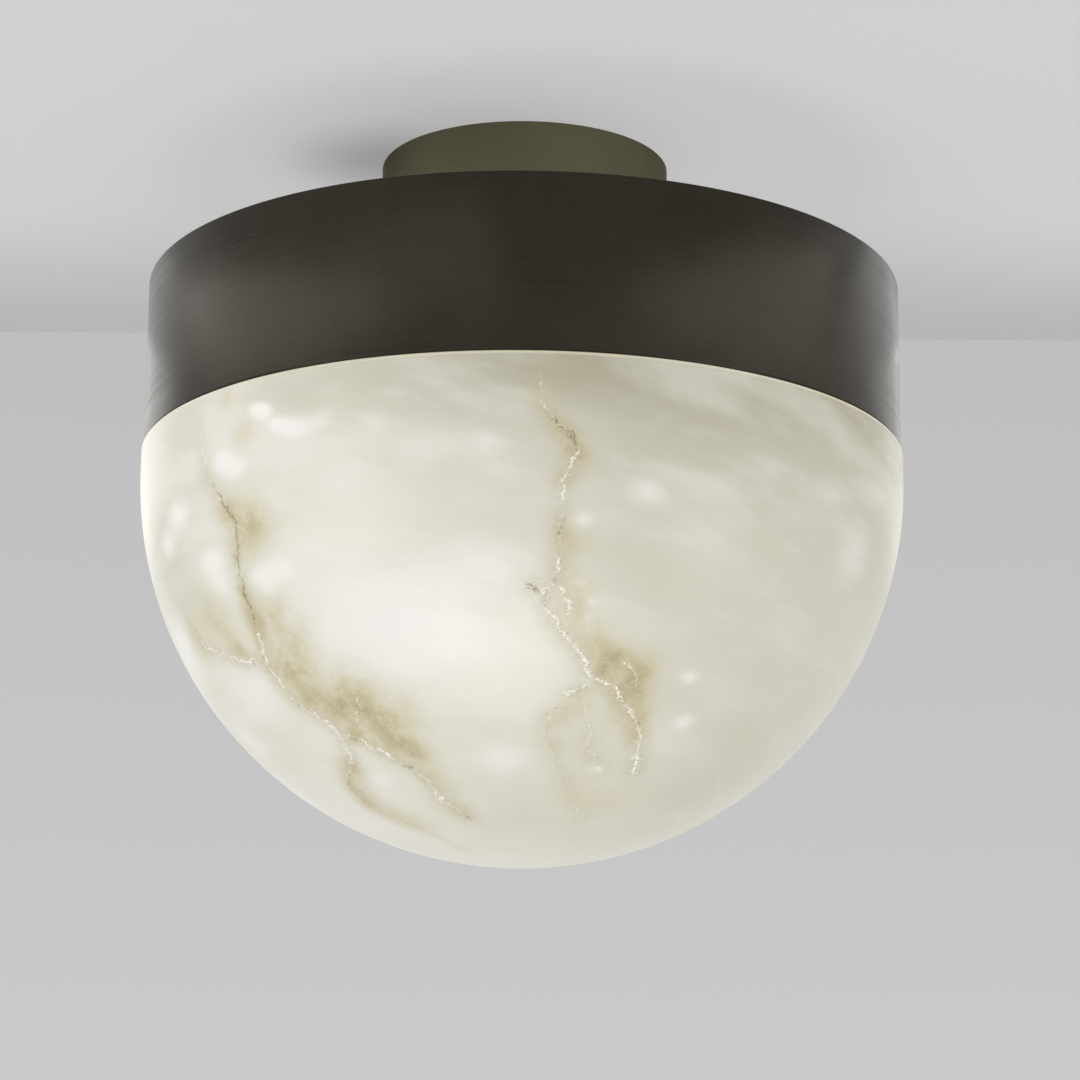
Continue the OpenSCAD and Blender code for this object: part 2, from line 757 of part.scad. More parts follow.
// Half outline of the bowl: a straight side over a quarter circle
module bowl_half(r) {
  translate([0, dome_z]) square([r, bowl_straight]);
  intersection() {
    translate([0, dome_z]) circle(r);
    translate([0, dome_z - r]) square([r, r]);
  }
}

// Turned alabaster bowl, with a step inside its rim for the collar
module alabaster_bowl() {
  color(stone) rotate_extrude() difference() {
    bowl_half(bowl_r);
    bowl_half(bowl_in_r);
    translate([0, rim_z - bowl_straight]) square([bowl_in_r, bowl_straight + overcut]);
    translate([0, rim_z - rebate_h]) square([rebate_r, rebate_h + overcut]);
    polygon([
      [bowl_r - rim_chamfer - overcut, rim_z + overcut], [bowl_r + overcut, rim_z + overcut],
      [bowl_r + overcut, rim_z - rim_chamfer - overcut]
    ]);
  }
}

// Metal collar that stands up out of the bowl into the drum
module bowl_collar() {
  color(brass) translate([0, 0, collar_bottom_z]) difference() {
    ring(collar_in_r, collar_out_r, collar_top_z - collar_bottom_z);
    lug_rivet_places() rotate([0, 90, 0]) cylinder(r = rivet_hole_r, h = 4 * collar_t, center = true);
  }
}

// Adhesive between the collar and the stone
module collar_bond() {
  z0 = rim_z - rebate_h;
  profile = [
    [collar_in_r, z0], [rebate_r, z0], [rebate_r, rim_z - bond_drop], [collar_out_r, rim_z - bond_drop],
    [collar_out_r, collar_bottom_z], [collar_in_r, collar_bottom_z]
  ];
  color("gainsboro") rotate_extrude() polygon(profile);
}

// Places of the two rivets in each lug, measured from the collar's lower edge
module lug_rivet_places() {
  for (t = turns) for (a = [-1, 1])
    rotate([0, 0, 60 + t + a * lug_deg * rivet_spread])
      translate([collar_out_r, 0, lug_z + lug_t / 2 - collar_bottom_z]) children();
}

// Lugs that rest on the ledge when the bowl is locked
module bayonet_lugs() {
  color(zinc) difference() {
    for (t = turns) translate([0, 0, lug_z])
      ring_part(collar_out_r, lug_out_r, lug_t, lug_start + t, lug_end + t);
    translate([0, 0, collar_bottom_z]) lug_rivet_places() rotate([0, 90, 0])
      cylinder(r = rivet_shank_r, h = 2 * rivet_bite, center = true);
  }
}

// Rivets from inside the collar into the lugs
module lug_rivets() {
  inside = collar_t + rivet_gap;
  color(zinc) translate([0, 0, collar_bottom_z]) lug_rivet_places() rotate([0, 90, 0]) {
    translate([0, 0, -inside - rivet_head_t]) cylinder(r = rivet_head_r, h = rivet_head_t);
    translate([0, 0, -inside]) cylinder(r = rivet_shank_r, h = inside + rivet_bite);
  }
}

// Soft ring on the stone's rim that keeps light in
module rim_seal() {
  color(black) translate([0, 0, rim_z])
    ring(rebate_r + seal_side, drum_in_r - seal_side, ledge_z - rim_z - running_play);
}

ceiling_bracket();
bracket_earth_screw();
threaded_tube();
tube_lock_nuts();
canopy();
drum_shell();
load_plate();
spring_washer();
drum_nut();
tube_bush();
bayonet_ring();
bayonet_stops();
tray_studs();
tray_spacers();
gear_tray();
tray_washers();
tray_nuts();
terminal_block();
terminal_screws();
cable_clamp();
cable_clamp_screws();
tray_earth_screw();
live_wires();
neutral_wires();
earth_wire();
holder_nipples();
holder_nuts();
holder_tongues();
for (k = [1:3]) {
  holder_cap(k);
  holder_insert(k);
  holder_shell(k);
  holder_skirt(k);
  bulb_cap(k);
  bulb_contact(k);
  bulb_housing(k);
  bulb_globe(k);
}
alabaster_bowl();
bowl_collar();
collar_bond();
bayonet_lugs();
lug_rivets();
rim_seal();
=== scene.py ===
# %% [markdown]
# # Alabaster ceiling light
#
# The light is a bronze canopy, a wide bronze drum and a deep bowl of alabaster that is lit from inside.
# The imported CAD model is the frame: it gives every size and place. This lesson dresses it, one piece and
# one finish at a time. Lengths are in metres, the ceiling is at height 0, and the light hangs below it.

import json
import math

import bpy
import numpy as np
from mathutils import Matrix, Vector


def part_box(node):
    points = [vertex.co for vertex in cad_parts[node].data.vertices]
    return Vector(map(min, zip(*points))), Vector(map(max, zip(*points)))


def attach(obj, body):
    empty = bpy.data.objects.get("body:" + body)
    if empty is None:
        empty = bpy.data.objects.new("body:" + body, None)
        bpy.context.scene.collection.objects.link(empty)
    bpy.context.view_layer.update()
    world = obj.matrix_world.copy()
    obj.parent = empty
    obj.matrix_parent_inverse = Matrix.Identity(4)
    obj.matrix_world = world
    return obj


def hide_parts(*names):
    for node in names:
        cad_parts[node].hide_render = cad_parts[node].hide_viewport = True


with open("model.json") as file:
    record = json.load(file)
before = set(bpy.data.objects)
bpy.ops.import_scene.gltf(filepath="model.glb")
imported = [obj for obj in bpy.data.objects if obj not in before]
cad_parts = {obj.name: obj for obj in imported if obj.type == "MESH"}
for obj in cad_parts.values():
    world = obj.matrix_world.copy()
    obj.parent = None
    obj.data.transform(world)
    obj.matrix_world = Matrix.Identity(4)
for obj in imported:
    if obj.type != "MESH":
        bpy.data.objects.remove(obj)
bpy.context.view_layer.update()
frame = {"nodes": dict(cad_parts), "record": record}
nodes = frame["nodes"]
mm = 0.001
print("CAD nodes:", len(nodes))

# %% [markdown]
# ## The camera
#
# The camera comes first, because the veins in the stone are placed through it later. The photograph was
# taken from in front and below with a long lens, so the drum's edges are gentle curves. The numbers were
# found by fitting the drum's two edges and the bowl's outline.

# %% Camera
photo_px = 1080
lens_px = 3783.6
camera_at = Vector((0, -1.5467, -0.5681))
pitch, yaw, roll = 0.255, 0.005, -0.007

level = Vector((math.cos(yaw), -math.sin(yaw), 0))
ahead = Vector((math.sin(yaw) * math.cos(pitch), math.cos(yaw) * math.cos(pitch), math.sin(pitch)))
above = level.cross(ahead)
right = level * math.cos(roll) - above * math.sin(roll)
up = level * math.sin(roll) + above * math.cos(roll)

camera_data = bpy.data.cameras.new("camera")
camera_data.sensor_width = 36
camera_data.lens = lens_px / photo_px * camera_data.sensor_width
camera = bpy.data.objects.new("camera", camera_data)
camera.matrix_world = Matrix.Translation(camera_at) @ Matrix((right, up, -ahead)).transposed().to_4x4()
bpy.context.collection.objects.link(camera)
bpy.context.scene.camera = camera
print("lens in mm:", round(camera_data.lens, 1))


# %% [markdown]
# ## Helpers for modelling
#
# Most of this light was turned, spun or pressed round one axis, so one helper works as a lathe does: it
# starts a single point, extrudes it along half of the outline, and spins that line round the axis.
# Blender's operators act on whatever is selected, so each helper first selects only what it works on.

# %% Modelling helpers
def select(*pieces):
    """Selects only the given pieces, and makes the first one active."""
    bpy.ops.object.select_all(action="DESELECT")
    for piece in pieces:
        piece.select_set(True)
    if pieces:
        bpy.context.view_layer.objects.active = pieces[0]


def apply_modifiers(piece):
    """Applies every modifier on the piece, from the first to the last."""
    select(piece)
    for modifier in list(piece.modifiers):
        bpy.ops.object.modifier_apply(modifier=modifier.name)


def round_edges(piece, width, segments=3, angle=30):
    """Rounds every edge sharper than the angle, as a file or a press tool leaves it."""
    bevel = piece.modifiers.new("round edges", "BEVEL")
    bevel.width = width
    bevel.segments = segments
    bevel.limit_method = "ANGLE"
    bevel.angle_limit = math.radians(angle)
    apply_modifiers(piece)


def smooth(piece, angle=35):
    """Shades the piece smooth, but keeps edges sharper than the angle crisp."""
    select(piece)
    bpy.ops.object.shade_smooth_by_angle(angle=math.radians(angle))


def settle(piece):
    """Puts the object at the origin, unturned and unscaled, with its place in its mesh."""
    select(piece)
    bpy.ops.object.transform_apply(location=True, rotation=True, scale=True)


def draw(name, points):
    """Extrudes a single point along a line of points. The piece stays in edit mode."""
    select()
    bpy.ops.mesh.primitive_plane_add(size=mm, location=(0, 0, 0))
    piece = bpy.context.object
    piece.name = piece.data.name = name
    bpy.ops.object.mode_set(mode="EDIT")
    bpy.ops.mesh.merge(type="CENTER")
    bpy.ops.transform.translate(value=points[0])
    for here, there in zip(points, points[1:]):
        step = [b - a for a, b in zip(here, there)]
        bpy.ops.mesh.extrude_region_move(TRANSFORM_OT_translate={"value": step})
    bpy.ops.mesh.select_all(action="SELECT")
    bpy.ops.mesh.remove_doubles(threshold=1e-6)
    return piece


def turned(name, outline, steps=256, crisp=None):
    """Turns (radius, height) points round the upright axis, and keeps edges crisp above an angle."""
    piece = draw(name, [(r, 0, z) for r, z in outline])
    bpy.ops.mesh.spin(steps=steps, angle=2 * math.pi, center=(0, 0, 0), axis=(0, 0, 1))
    bpy.ops.mesh.select_all(action="SELECT")
    bpy.ops.mesh.remove_doubles(threshold=1e-6)
    bpy.ops.mesh.normals_make_consistent(inside=False)
    bpy.ops.object.mode_set(mode="OBJECT")
    if crisp:
        smooth(piece, crisp)
    return piece


finish_of_slot = {}


def place(piece, body, slot_name, *stands_for):
    """Gives the piece its slot's finish, and lets it ride on its body in place of the named nodes."""
    piece.data.materials.clear()
    piece.data.materials.append(finish_of_slot[slot_name])
    if stands_for:
        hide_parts(*stands_for)
    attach(piece, body)
    triangles = sum(len(face.vertices) - 2 for face in piece.data.polygons)
    print(f"{piece.name}: {triangles} triangles")


# %% [markdown]
# ## Helpers for finishes
#
# Each finish is one Principled shader fed by a few procedural textures. The first class adds nodes with
# their inputs in one line, so that a finish reads like a recipe. The second one adds the shader, and
# patterns in Object coordinates, which are in metres.

# %% Finish helpers
class Nodes:
    """A node tree that is built up node by node."""

    def __init__(self, tree):
        self.tree = tree

    def add(self, kind, inputs=None, **settings):
        """Adds a node. Inputs are values, or outputs of other nodes."""
        node = self.tree.nodes.new("ShaderNode" + kind)
        for key, value in settings.items():
            setattr(node, key, value)
        for socket, value in (inputs or {}).items():
            if isinstance(value, bpy.types.NodeSocket):
                self.tree.links.new(value, node.inputs[socket])
            else:
                node.inputs[socket].default_value = value
        return node

    def math(self, operation, *values, clamp=False):
        """The result of one operation on the values. Clamp keeps it from 0 to 1."""
        return self.add("Math", dict(enumerate(values)), operation=operation, use_clamp=clamp).outputs[0]

    def times(self, first, second, clamp=False):
        return self.math("MULTIPLY", first, second, clamp=clamp)

    def plus(self, first, second):
        return self.math("ADD", first, second)

    def larger(self, first, second):
        return self.math("MAXIMUM", first, second)

    def fit(self, value, low, high, to_low=0.0, to_high=1.0, kind="SMOOTHSTEP"):
        """Maps a value from one range to another, and clamps it there."""
        inputs = {"Value": value, "From Min": low, "From Max": high, "To Min": to_low, "To Max": to_high}
        return self.add("MapRange", inputs, interpolation_type=kind, clamp=True).outputs["Result"]

    def mix(self, factor, first, second, blend="MIX"):
        """Goes from the first colour to the second as the factor goes from 0 to 1."""
        node = self.add("Mix", {"Factor": factor}, data_type="RGBA", blend_type=blend)
        for socket, value in ((node.inputs[6], first), (node.inputs[7], second)):
            if isinstance(value, bpy.types.NodeSocket):
                self.tree.links.new(value, socket)
            else:
                socket.default_value = value
        return node.outputs[2]


class Finish(Nodes):
    """A material with a Principled shader."""

    def __init__(self, name, **constants):
        self.material = bpy.data.materials.new(name)
        self.material.use_nodes = True
        super().__init__(self.material.node_tree)
        self.shader = self.tree.nodes["Principled BSDF"]
        for socket, value in constants.items():
            self.shader.inputs[socket.replace("_", " ")].default_value = value
        self.position = self.add("TexCoord").outputs["Object"]

    def stretch(self, x, y, z, turn=(0, 0, 0), shift=(0, 0, 0)):
        """Object coordinates, turned and then scaled along each axis."""
        tilted = self.add("Mapping", {"Vector": self.position, "Rotation": turn}).outputs["Vector"]
        inputs = {"Vector": tilted, "Scale": (x, y, z), "Location": shift}
        return self.add("Mapping", inputs).outputs["Vector"]

    def noise(self, scale, detail=3, rough=0.5, vector=None, warp=0.0):
        """A cloudy pattern. The larger the scale, the smaller its clouds."""
        inputs = {"Vector": vector or self.position, "Scale": scale, "Detail": detail,
                  "Roughness": rough, "Distortion": warp}
        return self.add("TexNoise", inputs).outputs["Fac"]

    def bump(self, height, distance, strength=1.0, under=None):
        """A relief as high as the distance, over another one if that is given."""
        inputs = {"Height": height, "Distance": distance, "Strength": strength}
        if under is not None:
            inputs["Normal"] = under
        return self.add("Bump", inputs).outputs["Normal"]

    def feed(self, **outputs):
        """Joins outputs to the shader's sockets."""
        for socket, value in outputs.items():
            self.tree.links.new(value, self.shader.inputs[socket.replace("_", " ")])
        return self.material


def shade(red, green, blue):
    """A colour as it reads on a screen, from 0 to 255, for a shader."""
    linear = []
    for c in (red, green, blue):
        linear.append(c / 255 / 12.92 if c <= 10 else ((c / 255 + 0.055) / 1.055) ** 2.4)
    return (*linear, 1.0)


# %% [markdown]
# ## Dark bronze
#
# The drum and canopy are metal with a chemical patina: nearly black brown on the drum, more olive on the
# canopy. Real patina is cloudy at the size of a hand, and the metal under it keeps the fine rings of
# polishing. Stretching a noise texture flat makes those rings: height and radius change it fast, and
# the way round changes it slowly, so there is no seam.

# %% Bronze finishes
def bronze(name, dark, light, metal, gloss, edge_tint, dull):
    """Patinated bronze, with clouds, polishing rings and small worn specks. Dull is its mean roughness."""
    f = Finish(name, Metallic=metal, Specular_IOR_Level=gloss, Specular_Tint=edge_tint)
    parts = f.add("SeparateXYZ", {"Vector": f.position}).outputs
    flat_place = f.add("CombineXYZ", {"X": parts["X"], "Y": parts["Y"]}).outputs[0]
    round_at = f.add("VectorMath", {0: flat_place}, operation="LENGTH").outputs["Value"]
    across = f.plus(parts["Z"], round_at)
    ringed = f.add("CombineXYZ", {
        "X": f.times(parts["X"], 4.0), "Y": f.times(parts["Y"], 4.0),
        "Z": f.times(across, 1500.0),
    }).outputs[0]
    rings = f.noise(1.0, 2, 0.6, vector=ringed)
    clouds = f.noise(11.0, 4, 0.55, warp=0.6)
    fine = f.noise(900.0, 3, 0.6)
    tone = f.plus(f.times(clouds, 0.75), f.times(rings, 0.25))
    colour = f.mix(f.fit(tone, 0.32, 0.68), dark, light)
    colour = f.mix(f.fit(fine, 0.62, 0.85, 0.0, 0.25), colour, shade(120, 112, 98))
    cloudy = f.fit(clouds, 0.3, 0.7, dull - 0.04, dull + 0.04)
    roughness = f.plus(cloudy, f.fit(rings, 0.3, 0.7, -0.03, 0.03))
    normal = f.bump(rings, 0.02 * mm, 0.5, under=f.bump(fine, 0.03 * mm, 0.35))
    return f.feed(Base_Color=colour, Roughness=roughness, Normal=normal)


finish_of_slot["drum_bronze"] = bronze(
    "drum_bronze", shade(52, 48, 40), shade(64, 59, 51), metal=0.9, gloss=0.5,
    edge_tint=shade(255, 255, 255), dull=0.32)
finish_of_slot["canopy_bronze"] = bronze(
    "canopy_bronze", shade(116, 111, 87), shade(132, 128, 103), metal=0.6, gloss=0.25,
    edge_tint=shade(120, 118, 100), dull=0.45)
print("bronze finishes:", list(finish_of_slot))


# %% [markdown]
# ## Other metals
#
# The hidden hardware is zinc plated steel and brass. Zinc plating shows faint grey patches and a dull
# shine. Brass is warmer, with brown tarnish that gathers in clouds.

# %% Zinc and brass
def plated(name, tones, roughness, patch_size, tarnish):
    """Metal with cloudy patches, hairlines and, on brass, some tarnish."""
    f = Finish(name, Metallic=1.0)
    patches = f.noise(1 / patch_size, 3, 0.55, warp=0.4)
    hairs = f.noise(1.0, 2, 0.6, vector=f.stretch(1800, 60, 1800))
    grain = f.noise(1400.0, 2, 0.5)
    colour = f.mix(f.fit(patches, 0.3, 0.7), tones[0], tones[1])
    colour = f.mix(f.fit(f.noise(60.0, 4, 0.6), 0.55, 0.8, 0.0, tarnish), colour, tones[2])
    cloudy = f.fit(patches, 0.3, 0.7, roughness - 0.06, roughness + 0.06)
    rough = f.plus(cloudy, f.fit(hairs, 0.3, 0.7, 0, 0.05))
    normal = f.bump(grain, 0.02 * mm, 0.4, under=f.bump(hairs, 0.01 * mm, 0.4))
    return f.feed(Base_Color=colour, Roughness=rough, Normal=normal)


zinc_tones = (shade(172, 175, 178), shade(196, 199, 202), shade(150, 146, 138))
brass_tones = (shade(176, 150, 92), shade(198, 172, 112), shade(120, 92, 52))
finish_of_slot["zinc_steel"] = plated("zinc_plate", zinc_tones, 0.38, 12 * mm, 0.25)
finish_of_slot["plain_brass"] = plated("bare_brass", brass_tones, 0.32, 20 * mm, 0.5)
print("finishes so far:", len(finish_of_slot))


# %% [markdown]
# ## Enamel, plastic, ceramic, rubber and glass
#
# The tray is sprayed white, so it has a little orange peel. Moulded plastic has a fine spark-eroded grain.
# Fired ceramic is matt and slightly speckled. Each one gets its own texture size, because the eye reads
# a material by the size of its grain as much as by its colour.

# %% Plain finishes
def moulded(name, tones, roughness, grain_size, depth, speck):
    """An even material with slow colour drift, a fine grain and a few specks."""
    f = Finish(name)
    drift = f.noise(35.0, 3, 0.5)
    grain = f.noise(1 / grain_size, 3, 0.6)
    colour = f.mix(f.fit(drift, 0.3, 0.7), tones[0], tones[1])
    colour = f.mix(f.fit(f.noise(1300.0, 2, 0.5), 0.66, 0.8, 0.0, speck), colour, tones[2])
    rough = f.fit(f.plus(drift, grain), 0.7, 1.3, roughness - 0.05, roughness + 0.05)
    return f.feed(Base_Color=colour, Roughness=rough, Normal=f.bump(grain, depth, 0.6))


# For each slot: the finish's name, two tones and the specks' tone, roughness, the size and depth of the
# grain in millimetres, and how much the specks show
plain_finishes = {
    "white_enamel": ("white_enamel", (232, 231, 226), (238, 237, 233), (205, 203, 196),
                     0.38, 0.9, 0.03, 0.3),
    "white_plastic": ("white_plastic", (226, 225, 219), (233, 232, 227), (206, 204, 198),
                      0.45, 0.25, 0.015, 0.2),
    "black_plastic": ("black_plastic", (26, 26, 27), (34, 34, 35), (60, 60, 60), 0.5, 0.25, 0.015, 0.3),
    "white_ceramic": ("fired_ceramic", (222, 216, 202), (232, 227, 214), (150, 138, 118),
                      0.6, 0.4, 0.02, 0.7),
    "black_glass": ("black_glass", (14, 14, 16), (20, 20, 23), (50, 50, 54), 0.14, 0.7, 0.01, 0.2),
    "black_rubber": ("soft_rubber", (22, 22, 22), (30, 30, 29), (58, 57, 54), 0.75, 0.5, 0.03, 0.5),
    "grey_adhesive": ("set_adhesive", (190, 187, 178), (204, 201, 193), (225, 223, 216),
                      0.5, 1.2, 0.05, 0.5),
    "brown_wire": ("brown_sleeve", (92, 52, 28), (104, 60, 34), (130, 88, 60), 0.4, 0.5, 0.01, 0.2),
    "blue_wire": ("blue_sleeve", (34, 82, 158), (42, 92, 170), (90, 130, 190), 0.4, 0.5, 0.01, 0.2),
}
for slot_name, (name, dark, light, speck_tone, roughness, grain, depth, speck) in plain_finishes.items():
    tones = (shade(*dark), shade(*light), shade(*speck_tone))
    finish_of_slot[slot_name] = moulded(name, tones, roughness, grain * mm, depth * mm, speck)
print("plain finishes:", list(plain_finishes))


# %% [markdown]
# The earth wire is green with a yellow stripe that runs along it. The opal globes are milk glass: white,
# soft, with a slight glow and a faint swirl.

# %% Earth sleeve and opal glass
def striped_sleeve():
    """Green sleeve with bands of yellow."""
    f = Finish("earth_sleeve")
    inputs = {"Vector": f.position, "Scale": 320.0, "Distortion": 0.6}
    band = f.add("TexWave", inputs, bands_direction="X").outputs["Fac"]
    colour = f.mix(f.fit(band, 0.45, 0.55), shade(40, 130, 60), shade(225, 200, 50))
    grain = f.noise(2000.0, 2, 0.5)
    return f.feed(Base_Color=colour, Roughness=f.fit(grain, 0.3, 0.7, 0.36, 0.46),
                  Normal=f.bump(grain, 0.01 * mm, 0.5))


def opal_globe():
    """White glass that glows a little."""
    f = Finish("opal_glass", Emission_Strength=0.1)
    swirl = f.noise(70.0, 4, 0.5, warp=1.5)
    colour = f.mix(f.fit(swirl, 0.3, 0.7), shade(228, 224, 213), shade(238, 235, 226))
    fine = f.noise(700.0, 2, 0.5)
    return f.feed(Base_Color=colour, Emission_Color=colour, Roughness=f.fit(swirl, 0.3, 0.7, 0.28, 0.4),
                  Normal=f.bump(fine, 0.01 * mm, 0.4))


finish_of_slot["earth_wire_sleeve"] = striped_sleeve()
finish_of_slot["opal_glass"] = opal_globe()
print("finishes so far:", len(finish_of_slot))

# %% [markdown]
# ## The drum and the canopy
#
# Both are thin cups of spun metal. The lathe helper repeats their section, and a bevel modifier rounds the
# rims by less than a millimetre, which is what catches the light on a real edge. The sizes come from the
# boxes of the CAD nodes, so the pieces stay in the frame.

# %% Drum and canopy
drum_low, drum_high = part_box("drum_shell")
drum_r, drum_top, drum_bottom = drum_high[0], drum_high[2], drum_low[2]
canopy_low, canopy_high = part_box("canopy")
canopy_r, canopy_top = canopy_high[0], canopy_high[2]
tube_hole_r = 5.25 * mm
print("drum radius and height:", round(drum_r, 4), round(drum_top - drum_bottom, 4))


def cup(name, radius, floor, mouth, wall, edge, inward):
    """A round cup with a hole in its floor; inward is +1 where its inside lies above the floor."""
    inner = floor + inward * wall
    outline = [(tube_hole_r, floor), (radius, floor), (radius, mouth), (radius - wall, mouth),
               (radius - wall, inner), (tube_hole_r, inner), (tube_hole_r, floor)]
    piece = turned(name, outline, steps=320)
    round_edges(piece, edge, angle=50)
    smooth(piece, 30)
    return piece


drum = cup("spun_drum", drum_r, drum_top, drum_bottom, 2 * mm, 0.6 * mm, -1)
place(drum, "fixture", "drum_bronze", "drum_shell")
canopy = cup("spun_canopy", canopy_r, canopy_low[2], canopy_top, 1.5 * mm, 0.45 * mm, 1)
place(canopy, "fixture", "canopy_bronze", "canopy")

# %% [markdown]
# ## The alabaster bowl
#
# The bowl is turned from one block: a short straight side over half a sphere, with a small chamfer at the
# rim and a step inside it for the metal collar. Its outside gets many small faces, because the veins are
# painted into the mesh as attributes, and they can be no sharper than the faces are small.

# %% Turn the bowl
bowl_low, bowl_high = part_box("alabaster_bowl")
bowl_r, rim = bowl_high[0], bowl_high[2]
dome = bowl_low[2] + bowl_r
wall = 11 * mm
step_r = 153.7 * mm
step_deep = 14 * mm
chamfer = 1 * mm


def quarter(radius, count, from_pole):
    """Points of a quarter circle below the dome's middle."""
    angles = [math.pi / 2 * i / count for i in range(count + 1)]
    points = [(radius * math.sin(a), dome - radius * math.cos(a)) for a in angles]
    return points if from_pole else points[::-1]


outside = quarter(bowl_r, count=176, from_pole=True)
side = [(bowl_r, dome + (rim - chamfer - dome) * i / 7) for i in range(1, 8)]
mouth = [(bowl_r - chamfer * 0.35, rim - chamfer * 0.35), (bowl_r - chamfer, rim), (step_r, rim),
         (step_r, rim - step_deep), (bowl_r - wall, rim - step_deep), (bowl_r - wall, dome)]
inside = quarter(bowl_r - wall, count=24, from_pole=False)[1:]
bowl = turned("turned_bowl", outside + side + mouth + inside, steps=448, crisp=40)
print("bowl:", len(bowl.data.polygons), "faces")


# %% [markdown]
# ## Where the veins run
#
# A vein is a crack that crystals have filled. Its route is a short list of places read in the
# photograph. Each place is a point in the picture, and a straight line from the camera through that point
# meets the stone where the vein lies, so the route sits on the bowl and not in front of it.

# %% From the picture to the stone
def on_bowl(px, py):
    """The point of the bowl's outside that shows at a place in the picture."""
    half = photo_px / 2
    ray = (ahead + right * ((px - half) / lens_px) + up * ((half - py) / lens_px)).normalized()
    start = camera_at - Vector((0, 0, dome))
    middle = ray.dot(start)
    inner = middle ** 2 - start.dot(start) + bowl_r ** 2
    hit = start + ray * (-middle - math.sqrt(max(inner, 0)))
    if hit.z > 0:
        flat_ray, flat_start = ray.xy, start.xy
        a, b, c = flat_ray.dot(flat_ray), flat_ray.dot(flat_start), flat_start.dot(flat_start) - bowl_r ** 2
        hit = start + ray * ((-b - math.sqrt(max(b * b - a * c, 0))) / a)
    return hit + Vector((0, 0, dome))


def round_bowl(degrees, drop):
    """A point of the bowl's outside at an angle round it and some millimetres down from the rim."""
    turn = math.radians(degrees)
    straight = rim - dome
    if drop * mm <= straight:
        return Vector((bowl_r * math.sin(turn), -bowl_r * math.cos(turn), rim - drop * mm))
    bent = (drop * mm - straight) / bowl_r
    return Vector((bowl_r * math.cos(bent) * math.sin(turn), -bowl_r * math.cos(bent) * math.cos(turn),
                   dome - bowl_r * math.sin(bent)))


# %% [markdown]
# The routes in the picture's pixels. A vein changes along its way: here it is a row of white crystals, there
# a thin brown crack. So each place also says how white and how brown the vein is, from 0 to 1. Paths that
# meet at a fork are kept in different layers, so that each layer's distance runs smoothly over its line.

# %% Vein routes seen in the photograph: across, down, white, brown
left_trunk = [
    (196, 414, 0.1, 0.1), (199, 429, 0.2, 0.1), (203, 462, 0.4, 0.2), (206, 480, 0.2, 0.3),
    (214, 490, 0.1, 0.5), (223, 508, 0.0, 1.0), (237, 524, 0.1, 1.0), (236, 557, 0.35, 0.7),
    (240, 577, 0.1, 0.5), (243, 590, 0.0, 0.9), (252, 615, 0.1, 0.9), (260, 634, 0.6, 0.6),
    (264, 657, 1.0, 0.4), (267, 666, 0.9, 0.6), (283, 688, 0.6, 0.2), (293, 700, 0.6, 0.2),
    (317, 714, 0.5, 0.2), (329, 722, 0.8, 0.3), (343, 735, 1.0, 0.3),
]
left_fork = [
    (341, 733, 1.0, 0.3), (352, 736, 0.9, 0.2), (365, 742, 0.7, 0.3), (377, 749, 0.9, 0.3),
    (390, 756, 0.9, 0.3), (411, 767, 0.3, 0.5), (431, 784, 0.3, 0.4), (439, 797, 0.7, 0.2),
    (451, 806, 0.7, 0.2), (463, 813, 0.3, 0.8), (475, 822, 0.0, 0.9),
]
left_root = [
    (343, 737, 1.0, 0.2), (347, 749, 1.0, 0.2), (351, 761, 0.8, 0.3), (349, 772, 0.3, 0.5),
    (350, 785, 0.1, 0.4), (362, 802, 0.0, 0.3), (395, 818, 0.0, 0.2), (436, 835, 0.1, 0.1),
    (469, 853, 0.1, 0.1),
]
left_arm = [
    (184, 612, 0.2, 0.3), (194, 632, 0.3, 0.4), (206, 647, 0.8, 0.1), (218, 653, 0.4, 0.1),
    (232, 657, 0.7, 0.1), (252, 660, 0.7, 0.2), (265, 664, 0.5, 0.4),
]
left_twig = [(355, 692, 0.2, 0.3), (358, 706, 0.5, 0.1), (357, 718, 0.6, 0.1), (361, 731, 0.4, 0.2)]
middle_trunk = [
    (539, 366, 0.25, 0.1), (540, 395, 0.2, 0.1), (546, 408, 0.35, 0.3), (553, 418, 0.4, 0.5),
    (563, 429, 0.3, 1.0), (572, 442, 0.2, 1.0), (578, 452, 0.4, 0.7), (572, 471, 0.8, 0.2),
    (564, 482, 1.0, 0.3), (563, 497, 0.4, 0.1), (561, 523, 0.2, 0.5), (560, 554, 0.3, 0.4),
    (556, 570, 0.8, 0.3), (555, 581, 0.9, 0.6), (546, 590, 1.0, 0.6), (547, 603, 0.6, 0.5),
    (557, 624, 0.8, 0.5), (574, 643, 0.5, 0.2), (587, 662, 0.9, 0.2), (591, 678, 1.0, 0.4),
]
middle_fork = [
    (592, 680, 1.0, 0.4), (602, 682, 1.0, 0.4), (614, 689, 0.9, 0.3), (620, 698, 1.0, 0.2),
    (626, 702, 0.8, 0.2), (633, 715, 0.9, 0.1), (638, 734, 0.5, 0.1), (637, 758, 0.9, 0.1),
    (636, 768, 1.0, 0.1), (637, 776, 0.2, 1.0),
]
middle_arm = [(591, 683, 1.0, 0.2), (583, 691, 1.0, 0.1), (572, 694, 0.9, 0.1), (559, 692, 0.4, 0.1)]
middle_root = [
    (580, 699, 0.3, 0.2), (568, 705, 0.2, 0.2), (548, 715, 0.3, 0.3), (546, 734, 0.1, 0.3),
    (553, 750, 0.1, 0.2), (558, 764, 0.1, 0.2), (571, 793, 0.1, 0.1), (582, 820, 0.3, 0.1),
]
middle_thread = [
    (587, 702, 0.2, 0.0), (588, 737, 0.25, 0.0), (587, 748, 0.35, 0.0), (590, 758, 0.5, 0.0),
    (603, 772, 0.6, 0.0),
]
upper_twig = [(522, 582, 0.1, 0.5), (536, 588, 0.1, 0.7), (545, 593, 0.4, 0.9)]
